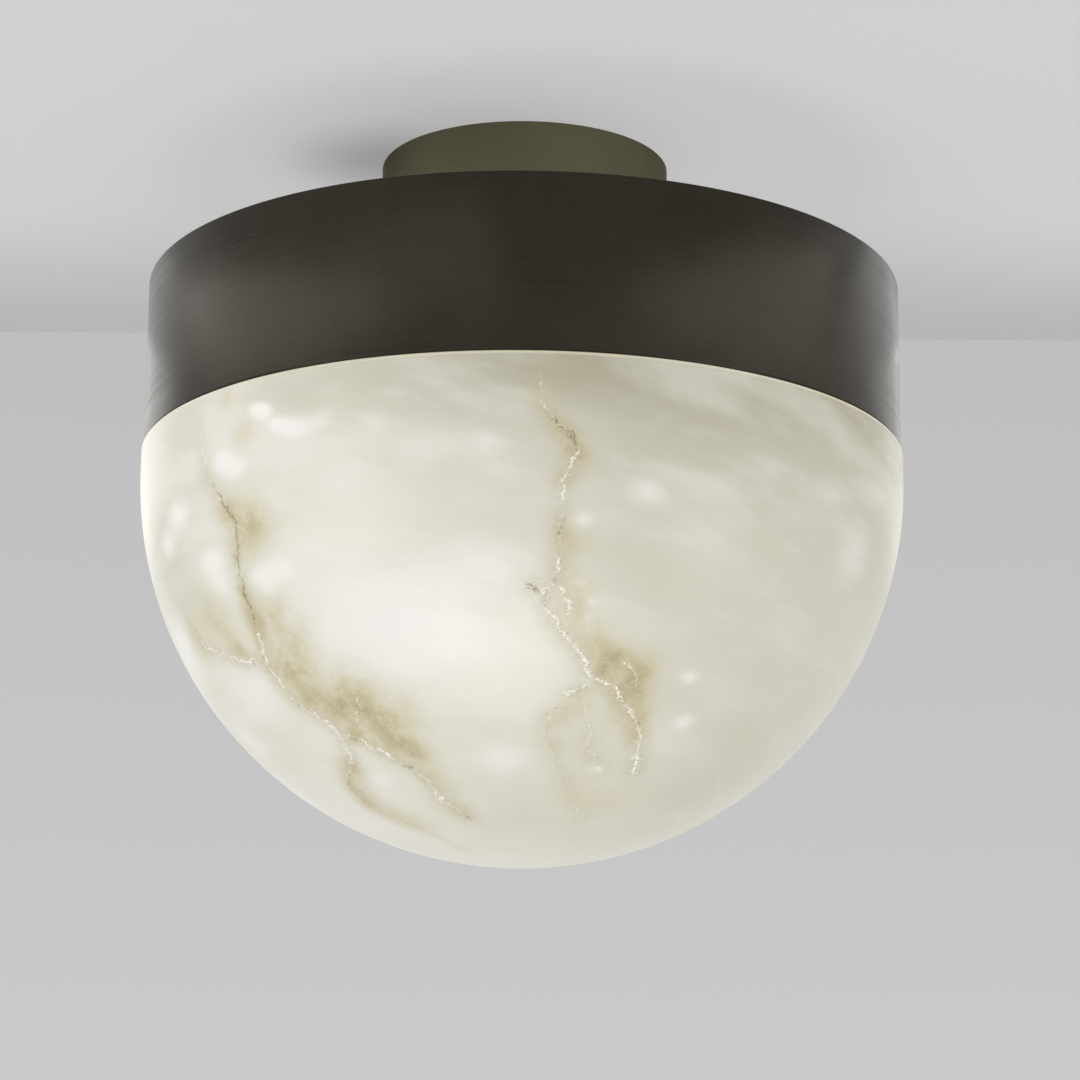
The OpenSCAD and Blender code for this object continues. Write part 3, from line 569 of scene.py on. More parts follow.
net_twig = [(558, 584, 0.6, 0.2), (566, 592, 0.6, 0.2), (572, 603, 0.6, 0.2), (566, 617, 0.4, 0.2)]
shoulder_twig = [
    (598, 676, 0.3, 0.8), (606, 667, 0.3, 0.4), (627, 666, 0.4, 0.1), (636, 676, 0.35, 0.2),
    (640, 690, 0.2, 0.2),
]
seen_layers = [
    [left_trunk, middle_trunk],
    [left_fork, middle_fork],
    [left_root, left_arm, middle_root, upper_twig],
    [left_twig, middle_arm, net_twig],
    [middle_thread, shoulder_twig],
]
print("routes seen in each layer:", [len(paths) for paths in seen_layers])

# %% [markdown]
# The photograph shows only the front. A block of alabaster is veined all through, so the sides and the
# back get veins of the same kind. They are given as degrees round the bowl and millimetres below the rim.

# %% Vein routes on the sides and the back: degrees, drop, white, brown
right_trunk = [
    (108, 4, 0.3, 0.2), (112, 30, 0.4, 0.6), (109, 48, 0.8, 0.3), (116, 66, 0.2, 1.0),
    (114, 88, 1.0, 0.3), (122, 108, 0.7, 0.3), (120, 130, 0.3, 0.7), (127, 150, 0.6, 0.2),
    (126, 172, 0.1, 0.6),
]
right_fork = [(114, 90, 1.0, 0.3), (107, 102, 0.8, 0.2), (106, 116, 0.4, 0.5), (112, 128, 0.1, 0.6)]
back_trunk = [
    (170, 3, 0.3, 0.1), (174, 22, 0.5, 0.3), (166, 44, 0.1, 1.0), (171, 62, 0.9, 0.3),
    (163, 86, 0.4, 0.5), (168, 104, 1.0, 0.4), (158, 128, 0.6, 0.2), (160, 150, 0.3, 0.6),
    (150, 176, 0.1, 0.4),
]
back_fork = [
    (168, 106, 1.0, 0.4), (178, 120, 0.9, 0.2), (180, 140, 0.5, 0.3), (190, 160, 0.7, 0.1),
    (196, 184, 0.1, 0.8),
]
back_arm = [(171, 64, 0.8, 0.3), (182, 70, 0.5, 0.2), (190, 84, 0.7, 0.1), (200, 92, 0.2, 0.5)]
far_left_trunk = [
    (262, 5, 0.2, 0.2), (257, 28, 0.4, 0.5), (262, 50, 0.1, 0.9), (254, 70, 0.8, 0.3),
    (256, 92, 1.0, 0.3), (246, 114, 0.5, 0.3), (240, 140, 0.2, 0.6), (236, 166, 0.1, 0.3),
]
far_left_fork = [(256, 94, 1.0, 0.3), (261, 104, 0.7, 0.2), (257, 120, 0.2, 0.7), (252, 142, 0.1, 0.3)]
hidden_layers = [
    [right_trunk, back_trunk, far_left_trunk],
    [right_fork, back_fork, far_left_fork],
    [back_arm],
    [],
    [],
]
layers = []
for seen, hidden in zip(seen_layers, hidden_layers):
    paths = [[(on_bowl(x, y), white, brown) for x, y, white, brown in path] for path in seen]
    for path in hidden:
        paths.append([(round_bowl(turn, drop), white, brown) for turn, drop, white, brown in path])
    layers.append(paths)
print("vein layers:", [len(paths) for paths in layers])

# %% [markdown]
# ## Veins as attributes
#
# Every vertex stores how far it lies from the nearest vein in its layer and on which side, and how white
# and how brown the vein is there. The shader draws a thin line where that distance is nearly zero. A texture
# of pixels isn't needed, and the line stays sharp however close the camera comes.

# %% Distance to the veins
count = len(bowl.data.vertices)
spots = np.empty(count * 3, dtype=np.float32)
bowl.data.vertices.foreach_get("co", spots)
spots = spots.reshape(-1, 3).astype(float)
outward = spots - np.array([0, 0, dome])
outward[:, 2] = np.minimum(outward[:, 2], 0)
outward /= np.maximum(np.linalg.norm(outward, axis=1), 1e-9)[:, None]


def fade(values, low, high):
    """0 below low, 1 above high, smooth between them."""
    t = np.clip((values - low) / (high - low), 0, 1)
    return t * t * (3 - 2 * t)


# In millimetres: a vein's values hold up to fade_near from its route and are gone at fade_far, its ends
# thin out over tip_length, and the stone beside it is stained over about halo_width
fade_near, fade_far, tip_length, halo_width = 9, 16, 2.5, 5


def near_path(path):
    """Signed distance in millimetres, white and brown, for every vertex against one path."""
    best = np.full(count, 1e9)
    side_of, white, brown, run = np.ones(count), np.zeros(count), np.zeros(count), np.zeros(count)
    start = 0.0
    for (a, white_a, brown_a), (b, white_b, brown_b) in zip(path, path[1:]):
        a, b = np.array(a), np.array(b)
        step = b - a
        length = np.linalg.norm(step)
        t = np.clip((spots - a) @ step / length ** 2, 0, 1)
        gap = spots - (a + t[:, None] * step)
        lateral = np.einsum("ij,ij->i", gap, np.cross(outward, step / length))
        gap -= np.einsum("ij,ij->i", gap, outward)[:, None] * outward
        distance = np.linalg.norm(gap, axis=1)
        nearer = distance < best
        best[nearer] = distance[nearer]
        side_of[nearer] = np.where(lateral[nearer] < 0, -1, 1)
        white[nearer] = (white_a + t * (white_b - white_a))[nearer]
        brown[nearer] = (brown_a + t * (brown_b - brown_a))[nearer]
        run[nearer] = (start + t * length)[nearer]
        start += length
    to_end = np.minimum(run, start - run) / mm
    power = (1 - fade(best / mm, fade_near, fade_far)) * fade(to_end, 0, tip_length)
    return best * side_of / mm, white * power, brown * power


edge = np.zeros(count)
for number, paths in enumerate(layers):
    nearest = np.full(count, 1e9)
    stored = np.zeros((count, 3), dtype=np.float32)
    for path in paths:
        signed, white, brown = near_path(path)
        closer = np.abs(signed) < nearest
        nearest[closer] = np.abs(signed)[closer]
        stored[closer] = np.stack([signed, white, brown], axis=1)[closer]
        halo = np.exp(-((signed / halo_width) ** 2)) * np.clip(0.25 + 0.5 * white + 0.7 * brown, 0, 1)
        edge = np.maximum(edge, halo)
    attribute = bowl.data.attributes.new(f"vein_{number}", "FLOAT_VECTOR", "POINT")
    attribute.data.foreach_set("vector", stored.ravel())
attribute = bowl.data.attributes.new("vein_edge", "FLOAT", "POINT")
attribute.data.foreach_set("value", edge.astype(np.float32))
print("vein attributes:", [a.name for a in bowl.data.attributes if a.name.startswith("vein")])

# %% [markdown]
# ## Stains, clouds, painted light and painted shade as attributes
#
# Iron has stained the stone brown beside the veins, gypsum crystals make soft white clouds, and there are
# grey clouds. The large white patches on the bright left are painted light, and the grey ones by the rim on
# the right painted shade. Each one is a soft round patch at a place read in the photograph. The shader
# breaks the patches up with noise.

# %% Patches seen in the photograph: across, down, radius in pixels, and amount
brown_patches = [
    (226, 400, 10, 0.35), (243, 432, 14, 0.3), (228, 512, 12, 0.4), (248, 525, 22, 0.5),
    (244, 548, 12, 0.3), (264, 522, 16, 0.18), (243, 590, 7, 0.45), (250, 610, 10, 0.5),
    (258, 628, 12, 0.5), (274, 615, 18, 0.36), (215, 625, 26, 0.42), (198, 640, 18, 0.36),
    (240, 650, 14, 0.35), (275, 660, 18, 0.4), (296, 675, 22, 0.45), (298, 642, 20, 0.32),
    (310, 700, 16, 0.4), (335, 705, 20, 0.5), (360, 712, 16, 0.6), (355, 735, 12, 0.5),
    (386, 725, 20, 0.45), (400, 746, 18, 0.5), (420, 756, 14, 0.45), (432, 775, 12, 0.4),
    (350, 688, 28, 0.3), (402, 712, 24, 0.25), (446, 790, 10, 0.25), (350, 768, 13, 0.5),
    (358, 788, 14, 0.5), (370, 803, 12, 0.4), (388, 812, 14, 0.3), (414, 824, 20, 0.28),
    (456, 808, 14, 0.25), (540, 392, 10, 0.25), (548, 410, 8, 0.3), (561, 428, 8, 0.5),
    (574, 448, 10, 0.6), (581, 456, 8, 0.5), (566, 476, 8, 0.3), (564, 535, 9, 0.35), (576, 545, 12, 0.2),
    (562, 560, 10, 0.25), (576, 585, 14, 0.25), (573, 610, 16, 0.25), (590, 635, 16, 0.35),
    (604, 655, 14, 0.5), (620, 660, 14, 0.5), (631, 675, 16, 0.6), (640, 692, 13, 0.5),
    (602, 672, 8, 0.6), (641, 712, 12, 0.45), (622, 715, 13, 0.4), (635, 735, 12, 0.5),
    (648, 665, 14, 0.3), (616, 692, 12, 0.4), (576, 705, 12, 0.35), (560, 720, 12, 0.25),
    (556, 745, 10, 0.15), (590, 745, 20, 0.15), (580, 792, 26, 0.22), (612, 802, 20, 0.18),
]
# Grey clouds of the stone; the large ones along the rim and on the right are painted shade.
grey_and_shade_patches = [
    (640, 395, 60, 0.3), (706, 386, 56, 0.75), (480, 372, 46, 0.3), (802, 420, 56, 0.55),
    (700, 620, 70, 0.12), (760, 700, 80, 0.12), (300, 385, 40, 0.2), (860, 540, 60, 0.3),
    (640, 560, 46, 0.2), (520, 800, 46, 0.2), (690, 790, 60, 0.2), (450, 430, 50, 0.15),
]
# White gypsum clouds and crystals; the large soft ones on the bright left and middle are painted light.
white_and_lit_patches = [
    (256, 410, 10, 0.9), (264, 412, 10, 0.9), (276, 424, 10, 0.8), (288, 427, 12, 0.9),
    (300, 428, 12, 0.6), (320, 420, 16, 0.4), (222, 462, 14, 0.9), (234, 468, 15, 0.9),
    (178, 515, 22, 0.8), (168, 545, 20, 0.6), (212, 562, 20, 0.8), (220, 582, 18, 0.6),
    (262, 575, 16, 0.9), (280, 568, 16, 0.8), (268, 590, 8, 0.8), (288, 618, 6, 0.9), (279, 646, 4, 0.8),
    (300, 680, 4, 0.7), (338, 480, 26, 0.4), (423, 450, 26, 0.35), (487, 441, 20, 0.4),
    (370, 424, 20, 0.35), (579, 583, 6, 0.9), (590, 603, 6, 0.7), (587, 618, 5, 0.7), (689, 678, 10, 0.6),
    (684, 722, 12, 0.6), (595, 769, 8, 0.7), (646, 492, 20, 0.5), (582, 520, 10, 0.6),
    (709, 404, 12, 0.2), (400, 610, 70, 0.7), (360, 650, 50, 0.6), (440, 650, 46, 0.3),
    (200, 700, 40, 0.6), (250, 740, 30, 0.5), (300, 800, 50, 0.6), (480, 570, 40, 0.4),
    (500, 760, 26, 0.5), (770, 470, 26, 0.3), (830, 490, 26, 0.3), (380, 780, 12, 0.5),
]
print("patches seen:", len(brown_patches), "brown,", len(grey_and_shade_patches), "grey,", len(white_and_lit_patches), "white")

# %% [markdown]
# The hidden sides get the same three kinds of patch, again by degrees and millimetres.

# %% Patches on the sides and the back: degrees, drop, radius in millimetres, and amount
brown_hidden = [
    (114, 60, 12, 0.5), (120, 100, 14, 0.6), (110, 96, 10, 0.4), (124, 140, 12, 0.4), (172, 40, 10, 0.5),
    (166, 74, 14, 0.8), (172, 104, 16, 0.7), (184, 126, 12, 0.5), (160, 140, 12, 0.4), (258, 50, 10, 0.4),
    (254, 88, 14, 0.6), (255, 110, 12, 0.5), (244, 130, 10, 0.5), (190, 84, 10, 0.4),
]
grey_hidden = [
    (110, 40, 30, 0.5), (130, 90, 34, 0.4), (200, 40, 26, 0.4), (220, 100, 34, 0.45), (290, 60, 28, 0.4),
    (120, 150, 30, 0.35),
]
white_hidden = [
    (100, 60, 14, 0.7), (120, 70, 22, 0.7), (140, 40, 18, 0.7), (150, 90, 22, 0.8), (190, 60, 12, 0.7),
    (210, 70, 24, 0.7), (230, 60, 16, 0.6), (245, 40, 12, 0.7), (280, 90, 20, 0.7), (300, 120, 24, 0.6),
    (110, 120, 20, 0.6), (60, 60, 16, 0.5), (200, 140, 24, 0.7), (140, 140, 20, 0.6),
]
# Millimetres of stone to a pixel of the photograph, and how fast a patch thins out
px_to_mm, patch_core = 0.41, 0.7


def patch_field(name, seen, hidden, flat=1.0):
    """Adds up soft patches on every vertex, and stores the sum. A flat patch is wider than it is high."""
    total = np.zeros(count)
    placed = [(on_bowl(x, y), r * px_to_mm, amount) for x, y, r, amount in seen]
    placed += [(round_bowl(d, drop), r, amount) for d, drop, r, amount in hidden]
    for middle, radius, amount in placed:
        gap = np.linalg.norm((spots - np.array(middle)) * (1, 1, flat), axis=1) / mm
        total = 1 - (1 - total) * (1 - amount * np.exp(-((gap / radius) ** 2) * patch_core))
    attribute = bowl.data.attributes.new(name, "FLOAT", "POINT")
    attribute.data.foreach_set("value", total.astype(np.float32))
    print(name, "patches:", len(placed))


patch_field("brown", brown_patches, brown_hidden)
patch_field("grey", grey_and_shade_patches, grey_hidden)
patch_field("white", white_and_lit_patches, white_hidden, 1.5)


# %% [markdown]
# ## The alabaster finish
#
# The finish is built in layers, from the deep to the fine: a cream ground, grey and white clouds drawn out
# sideways by the bedding of the stone, brown stains with a sandy grain, and last the veins. Painted shade
# greys the ground towards the right and the rim, part of the white is painted light, and a painted highlight
# lines the rim. Lit from inside, alabaster glows a little, so part of the same colour is given as light.

# %% Alabaster
def attribute_of(f, name, output="Fac"):
    """What the bowl's mesh stores under a name."""
    return f.add("Attribute", attribute_name=name).outputs[output]


def stone_ground(f, cloud, wisp):
    """Cream stone and its clouds, with painted shade to the right and by the rim, and a painted highlight on
    the rim.
    """
    place_of = f.add("SeparateXYZ", {"Vector": f.position}).outputs
    broad = f.noise(9.0, 2, 0.5)
    ground = f.mix(f.fit(broad, 0.35, 0.65), shade(223, 221, 208), shade(230, 228, 218))
    # Painted shade: the ground darkens towards the right side of the bowl.
    ground = f.mix(f.fit(place_of["X"], -0.07, 0.12, 0.0, 0.85), ground, shade(210, 207, 192))
    # A grey-tan band below the rim, strongest on the right: the stone's own tone, deepened as painted shade
    # under the drum.
    near_rim = f.fit(place_of["Z"], rim - 32 * mm, rim - 4 * mm, 0.0, 0.75)
    rim_tone_and_shade = f.plus(near_rim, f.fit(place_of["Z"], rim - 100 * mm, rim, 0.0, 0.45))
    rim_tone_and_shade = f.times(rim_tone_and_shade, f.fit(place_of["X"], -0.1, 0.06, 0.35, 1.0))
    rim_tone_and_shade = f.times(rim_tone_and_shade, f.fit(cloud, 0.3, 0.65, 1.1, 0.6), clamp=True)
    ground = f.mix(rim_tone_and_shade, ground, shade(174, 168, 145))
    # Grey patches: grey clouds of the stone, and painted shade along the rim on the right.
    grey = f.times(attribute_of(f, "grey"), f.fit(cloud, 0.3, 0.62, 1.1, 0.6), clamp=True)
    ground = f.mix(grey, ground, shade(180, 175, 154))
    ground = f.mix(f.fit(cloud, 0.48, 0.76, 0.0, 0.3), ground, shade(237, 235, 227))
    ground = f.mix(f.fit(cloud, 0.26, 0.5, 0.25, 0.0), ground, shade(206, 202, 181))
    ground = f.mix(f.fit(wisp, 0.5, 0.8, 0.0, 0.2), ground, shade(236, 235, 227))
    ground = f.mix(f.fit(wisp, 0.28, 0.5, 0.12, 0.0), ground, shade(206, 202, 182))
    # White patches: gypsum clouds, and painted light on the bright left of the bowl.
    milk_and_light = f.times(attribute_of(f, "white"), f.fit(wisp, 0.35, 0.65, 0.9, 1.1), clamp=True)
    ground = f.mix(f.fit(milk_and_light, 0.05, 0.85), ground, shade(237, 235, 229))
    # Painted highlight: a pale line along the rim's chamfer, where the edge catches the light.
    rim_highlight = f.fit(place_of["Z"], rim - 1.8 * mm, rim - 0.8 * mm, 0.0, 0.7)
    return f.mix(rim_highlight, ground, shade(232, 224, 198))


def iron_stains(f, ground, fine, sand):
    """Soft brown stains with a sandy grain and a few pale dots."""
    ragged = f.noise(110.0, 4, 0.6)
    uneven = f.plus(f.times(ragged, 0.75), f.times(fine, 0.25))
    stain = f.times(attribute_of(f, "brown"), f.fit(uneven, 0.34, 0.66, 0.65, 1.3), clamp=True)
    colour = f.mix(f.fit(stain, 0.0, 0.5, kind="LINEAR"), ground, shade(204, 195, 165))
    colour = f.mix(f.fit(stain, 0.4, 1.1, 0.0, 0.9), colour, shade(160, 146, 110))
    sandy = f.times(f.fit(stain, 0.25, 0.8), f.fit(sand, 0.5, 0.7))
    colour = f.mix(f.times(sandy, 0.22), colour, shade(128, 112, 76))
    dots = f.times(f.fit(stain, 0.12, 0.5), f.fit(fine, 0.6, 0.72))
    return f.mix(f.times(dots, 0.35), colour, shade(230, 224, 204))


def vein_masks(f):
    """White crystals, crumbs of them, brown cracks and dark flecks, over all the layers."""
    wander = f.fit(f.noise(75.0, 2, 0.5), 0.2, 0.8, -1.8, 1.8, "LINEAR")
    jag = f.fit(f.noise(240.0, 2, 0.6), 0.2, 0.8, -1.6, 1.6, "LINEAR")
    nick = f.fit(f.noise(800.0, 2, 0.6), 0.2, 0.8, -0.8, 0.8, "LINEAR")
    offset = f.plus(wander, f.plus(jag, nick))
    broken = f.fit(f.noise(190.0, 3, 0.65), 0.38, 0.6)
    gaps = f.fit(f.noise(120.0, 3, 0.6, vector=f.stretch(1, 1, 1, shift=(0.3, 0.1, 0.2))), 0.35, 0.6)
    crumb = f.fit(f.noise(620.0, 2, 0.7), 0.54, 0.62)
    grains = f.fit(f.noise(1000.0, 2, 0.65), 0.4, 0.56, 0.3, 1.0)
    fleck = f.fit(f.noise(560.0, 2, 0.7, vector=f.stretch(1, 1, 1, shift=(0.5, 0.2, 0.7))), 0.55, 0.64)
    masks = {}
    for number in range(len(layers)):
        stored = f.add("SeparateXYZ", {"Vector": attribute_of(f, f"vein_{number}", "Vector")}).outputs
        distance, white, brown = stored["X"], stored["Y"], stored["Z"]
        away = f.math("ABSOLUTE", f.plus(distance, offset))
        half = f.times(white, f.plus(0.14, f.times(broken, 0.8)))
        line = f.math("SUBTRACT", 1.3, f.math("DIVIDE", away, f.plus(half, 0.03)), clamp=True)
        shown = f.times(white, f.plus(broken, 0.4))
        line = f.times(line, f.fit(shown, 0.1, 0.4))
        line = f.times(line, grains)
        crack_half = f.times(brown, f.plus(0.12, f.times(gaps, 0.85)))
        crack = f.math("SUBTRACT", 1.4, f.math("DIVIDE", away, f.plus(crack_half, 0.05)), clamp=True)
        crack = f.times(f.times(crack, grains), f.fit(brown, 0.1, 0.6))
        close = f.fit(away, 0.4, 2.4, 1.0, 0.0)
        found = {
            "line": line,
            "crack": crack,
            "crumbs": f.times(f.times(close, white), crumb),
            "flecks": f.times(f.times(close, f.larger(f.times(white, 0.7), brown)), fleck),
        }
        for key, value in found.items():
            masks[key] = f.larger(masks[key], value) if key in masks else value
    return masks


def alabaster():
    """The whole stone: ground, stains, and veins over them."""
    f = Finish("alabaster", Roughness=0.34, Specular_IOR_Level=0.42, Emission_Strength=0.45)
    bedding = f.stretch(1.0, 1.0, 3.2, turn=(0.0, -0.2, 0.0))
    cloud = f.noise(15.0, 3, 0.5, vector=bedding, warp=0.2)
    wisp = f.noise(38.0, 3, 0.5, vector=bedding, warp=0.2)
    fine = f.noise(420.0, 3, 0.6)
    sand = f.noise(1500.0, 2, 0.6)
    ground = stone_ground(f, cloud, wisp)
    colour = iron_stains(f, ground, fine, sand)
    masks = vein_masks(f)
    beside = f.times(attribute_of(f, "vein_edge"), f.fit(fine, 0.3, 0.7, 0.25, 0.6), clamp=True)
    colour = f.mix(beside, colour, shade(186, 173, 138))
    colour = f.mix(f.times(masks["crack"], 0.7), colour, shade(136, 114, 76))
    colour = f.mix(f.times(masks["flecks"], 0.65), colour, shade(112, 98, 72))
    colour = f.mix(f.times(masks["crumbs"], 0.6), colour, shade(238, 236, 226))
    colour = f.mix(f.times(masks["line"], 0.92), colour, shade(247, 246, 240))
    roughness = f.plus(f.fit(cloud, 0.3, 0.7, 0.3, 0.38), f.times(masks["line"], 0.2))
    dips = f.math("SUBTRACT", f.times(fine, 0.25), f.larger(masks["flecks"], masks["crack"]))
    normal = f.bump(dips, 0.1 * mm, 0.5, under=f.bump(masks["line"], 0.08 * mm, 0.5))
    dimmed = f.mix(1.0, colour, (0.6, 0.6, 0.6, 1), "MULTIPLY")
    return f.feed(Base_Color=dimmed, Emission_Color=colour, Roughness=roughness, Normal=normal)


finish_of_slot["alabaster"] = alabaster()
place(bowl, "bowl", "alabaster", "alabaster_bowl")

# %% [markdown]
# ## Helpers for hardware
#
# Hidden hardware is made by other tools than a lathe. Sheet metal is pressed, so one helper fills an outline
# and pushes it out. Holes are cut with a boolean modifier. A piece that comes many times is modelled once.

# %% Press, carve and copy
def pushed(name, outline, along):
    """Fills a closed line of points, and pushes the face out along a vector."""
    piece = draw(name, outline)
    bpy.ops.mesh.edge_face_add()
    bpy.ops.mesh.extrude_region_move(TRANSFORM_OT_translate={"value": along})
    bpy.ops.mesh.select_all(action="SELECT")
    bpy.ops.mesh.normals_make_consistent(inside=False)
    bpy.ops.object.mode_set(mode="OBJECT")
    return piece


def plate(name, outline, low, high):
    """A flat piece between two heights."""
    return pushed(name, [(x, y, low) for x, y in outline], (0, 0, high - low))


def rod(radius, start, end):
    """A round rod between two points, to cut with."""
    start, end = Vector(start), Vector(end)
    select()
    bpy.ops.mesh.primitive_cylinder_add(vertices=40, radius=radius, depth=(end - start).length,
                                        location=(start + end) / 2)
    tool = bpy.context.object
    tool.rotation_euler = (end - start).to_track_quat("Z", "Y").to_euler()
    settle(tool)
    return tool


def drills(radius, spots, low, high):
    """An upright rod at each spot, to cut holes with."""
    return [rod(radius, (x, y, low), (x, y, high)) for x, y in spots]


def delete(*pieces):
    """Deletes pieces that were only made to be copied or to cut with."""
    select(*pieces)
    bpy.ops.object.delete()


def carve(piece, *tools, keep=False):
    """Cuts the tools out of the piece, or keeps only what lies inside them."""
    for tool in tools:
        modifier = piece.modifiers.new("carve", "BOOLEAN")
        modifier.operation = "INTERSECT" if keep else "DIFFERENCE"
        modifier.object = tool
        modifier.solver = "EXACT"
        apply_modifiers(piece)
        delete(tool)


def joined(name, *pieces):
    """Makes one object of several."""
    select(*pieces)
    bpy.ops.object.join()
    pieces[0].name = pieces[0].data.name = name
    return pieces[0]


def twin(piece, name, at=(0, 0, 0), turn=(0, 0, 0)):
    """A copy with its own mesh, turned and then moved to its place."""
    select(piece)
    bpy.ops.object.duplicate()
    copy = bpy.context.object
    copy.name = copy.data.name = name
    copy.rotation_euler = [math.radians(a) for a in turn]
    copy.location = at
    settle(copy)
    return copy


def repeated(name, piece, places, turns=None):
    """Copies the piece to each place and turn, joins the copies, and deletes the first one."""
    copies = [twin(piece, name, at, turn) for at, turn in zip(places, turns or [(0, 0, 0)] * len(places))]
    delete(piece)
    return joined(name, *copies)


# %% Points and places
def arc(x, y, radius, first, last, count=6):
    """Points of an arc between two angles in degrees."""
    angles = [math.radians(first + (last - first) * i / count) for i in range(count + 1)]
    return [(x + radius * math.cos(a), y + radius * math.sin(a)) for a in angles]


def plan(x, y, length, width, corner):
    """A rectangle with round corners, seen from above."""
    a, b = length / 2 - corner, width / 2 - corner
    return (arc(x + a, y + b, corner, 0, 90) + arc(x - a, y + b, corner, 90, 180)
            + arc(x - a, y - b, corner, 180, 270) + arc(x + a, y - b, corner, 270, 360))


def mirrored(points):
    """The same line on the other side of the middle, drawn backwards."""
    return [(-x, z) for x, z in points[::-1]]


def at_turns(radius, *angles):
    """Spots at a radius and at angles in degrees."""
    return [(radius * math.cos(math.radians(a)), radius * math.sin(math.radians(a))) for a in angles]


def at_height(spots, z=0):
    """Spots seen from above, as places at one height."""
    return [(x, y, z) for x, y in spots]


def centre_of(node):
    """Middle of a node's box, seen from above."""
    low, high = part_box(node)
    return ((low[0] + high[0]) / 2, (low[1] + high[1]) / 2)


def radius_of(node):
    """How far a round node reaches from the axis."""
    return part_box(node)[1][0]


def heights(node):
    """Lowest and highest height of a node."""
    low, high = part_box(node)
    return low[2], high[2]


# %% [markdown]
# ## Threads, screws and nuts
#
# A thread is drawn as a row of ridges. At this size the eye can't tell rings from a helix, but it sees at
# once when a bolt is smooth. A screw's head is domed and slotted, and a nut's corners are chamfered on the
# lathe, which leaves the curved lines on its flats.

# %% Screws and nuts
def thread(radius, depth, high, low, pitch):
    """Half outline of a threaded length, from high to low."""
    points = [(radius - depth, high)]
    for i in range(int((high - low) / pitch)):
        top = high - i * pitch
        points += [(radius - depth, top - 0.1 * pitch), (radius, top - 0.4 * pitch),
                   (radius, top - 0.55 * pitch), (radius - depth, top - 0.85 * pitch)]
    return points + [(radius - depth, low)]


def pan_screw(name, shank_r, shank, head_r, head, pitch, slot_wide=0.8 * mm):
    """A slotted screw with its head's underside at height 0."""
    domed = [(head_r * math.sin(a * math.pi / 12), head * (0.5 + 0.5 * math.cos(a * math.pi / 12)))
             for a in range(7)]
    outline = domed + [(head_r, 0.1 * head), (head_r * 0.96, 0)]
    outline += thread(shank_r, shank_r * 0.14, 0, -shank + 0.3 * mm, pitch)
    piece = turned(name, outline + [(shank_r * 0.6, -shank), (0, -shank)], 36)
    a, b = head_r * 1.1, slot_wide / 2
    carve(piece, plate("slot", [(a, b), (-a, b), (-a, -b), (a, -b)], head * 0.5, head * 1.5))
    smooth(piece, 40)
    return piece


def hex_nut(name, across, bore, height):
    """A nut that stands on height 0, with turned chamfers and a countersunk bore."""
    corner, flat = across / math.sqrt(3), across / 2 * 0.96
    past = corner + 1 * mm
    slope = (past - flat) * 0.55
    piece = plate(name, arc(0, 0, corner, 0, 300, 5), -mm, height + mm)
    chamfers = [(0, height), (flat, height), (past, height - slope), (past, slope), (flat, 0), (0, 0)]
    carve(piece, turned("chamfers", chamfers, 84), keep=True)
    sink = 0.5 * mm
    hole = [(0, height + mm), (bore + sink + mm, height + mm), (bore, height - sink), (bore, sink),
            (bore + sink + mm, -mm), (0, -mm)]
    carve(piece, turned("hole", hole, 48))
    smooth(piece, 25)
    return piece


def soft_ring(name, inner, outer, low, high, edge_r, steps=96, crisp=40):
    """A ring with round edges."""
    section = plan((inner + outer) / 2, (low + high) / 2, outer - inner, high - low, edge_r)
    return turned(name, section + section[:1], steps, crisp)


# %% [markdown]
# ## The ceiling bracket
#
# The bracket is a steel strap, folded four times so that its middle hangs lower as a bridge. A real fold is
# never sharp: its inside has a small radius, and its outside is larger by the thickness of the steel.

# %% Bracket, with its earth screw
strap_low, strap_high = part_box("ceiling_bracket")
strap_end, strap_w, strap_t = strap_high[0], strap_high[1] - strap_low[1], 2 * mm
bridge_half, bridge_z = 23 * mm, strap_low[2]
fold_in, fold_out = 0.5 * mm, 0.5 * mm + strap_t
upper = (bridge_half + fold_out, -fold_out)
lower = (bridge_half - fold_in, bridge_z + fold_out)
top_side = [(strap_end + mm, 0)] + arc(*upper, fold_out, 90, 180) + arc(*lower, fold_in, 360, 270)
under_side = arc(*lower, fold_out, 270, 360) + arc(*upper, fold_in, 180, 90) + [(strap_end + mm, -strap_t)]
profile = top_side + mirrored(top_side) + mirrored(under_side) + under_side
bracket = pushed("bracket", [(x, strap_low[1] - mm, z) for x, z in profile], (0, strap_w + 2 * mm, 0))
ends = plate("rounded_ends", plan(0, 0, 2 * strap_end, strap_w, 4 * mm), -20 * mm, 20 * mm)
carve(bracket, ends, keep=True)
slot_at, slot_long, slot_wide, slot_round = 36 * mm, 17 * mm, 5.2 * mm, 2.599 * mm
earth_hole_r, earth_x = 2 * mm, centre_of("bracket_earth_screw")[0]
for x in (-slot_at, slot_at):
    carve(bracket, plate("slot", plan(x, 0, slot_long, slot_wide, slot_round), -5 * mm, 5 * mm))
for radius, x in ((tube_hole_r, 0), (earth_hole_r, earth_x)):
    carve(bracket, *drills(radius, [(x, 0)], -20 * mm, 5 * mm))
round_edges(bracket, 0.2 * mm, 2, 50)
smooth(bracket, 30)
place(bracket, "fixture", "zinc_steel", "ceiling_bracket")

m4 = {"shank_r": 1.9 * mm, "head_r": 3.5 * mm, "head": 2.2 * mm, "pitch": 0.7 * mm}
screw = pan_screw("earth_screw", shank=strap_t + 2 * mm, **m4)
earth_screw = repeated("earth_screw", screw, [(earth_x, 0, bridge_z)], [(180, 0, 0)])
place(earth_screw, "fixture", "plain_brass", "bracket_earth_screw")

# %% [markdown]
# ## The threaded tube and its nuts
#
# The hollow tube carries the whole light. Its thread runs over its full length, so the drum can be drawn up
# until the canopy just meets the ceiling.

# %% Tube, nuts and load plate
bore_r = 3.75 * mm


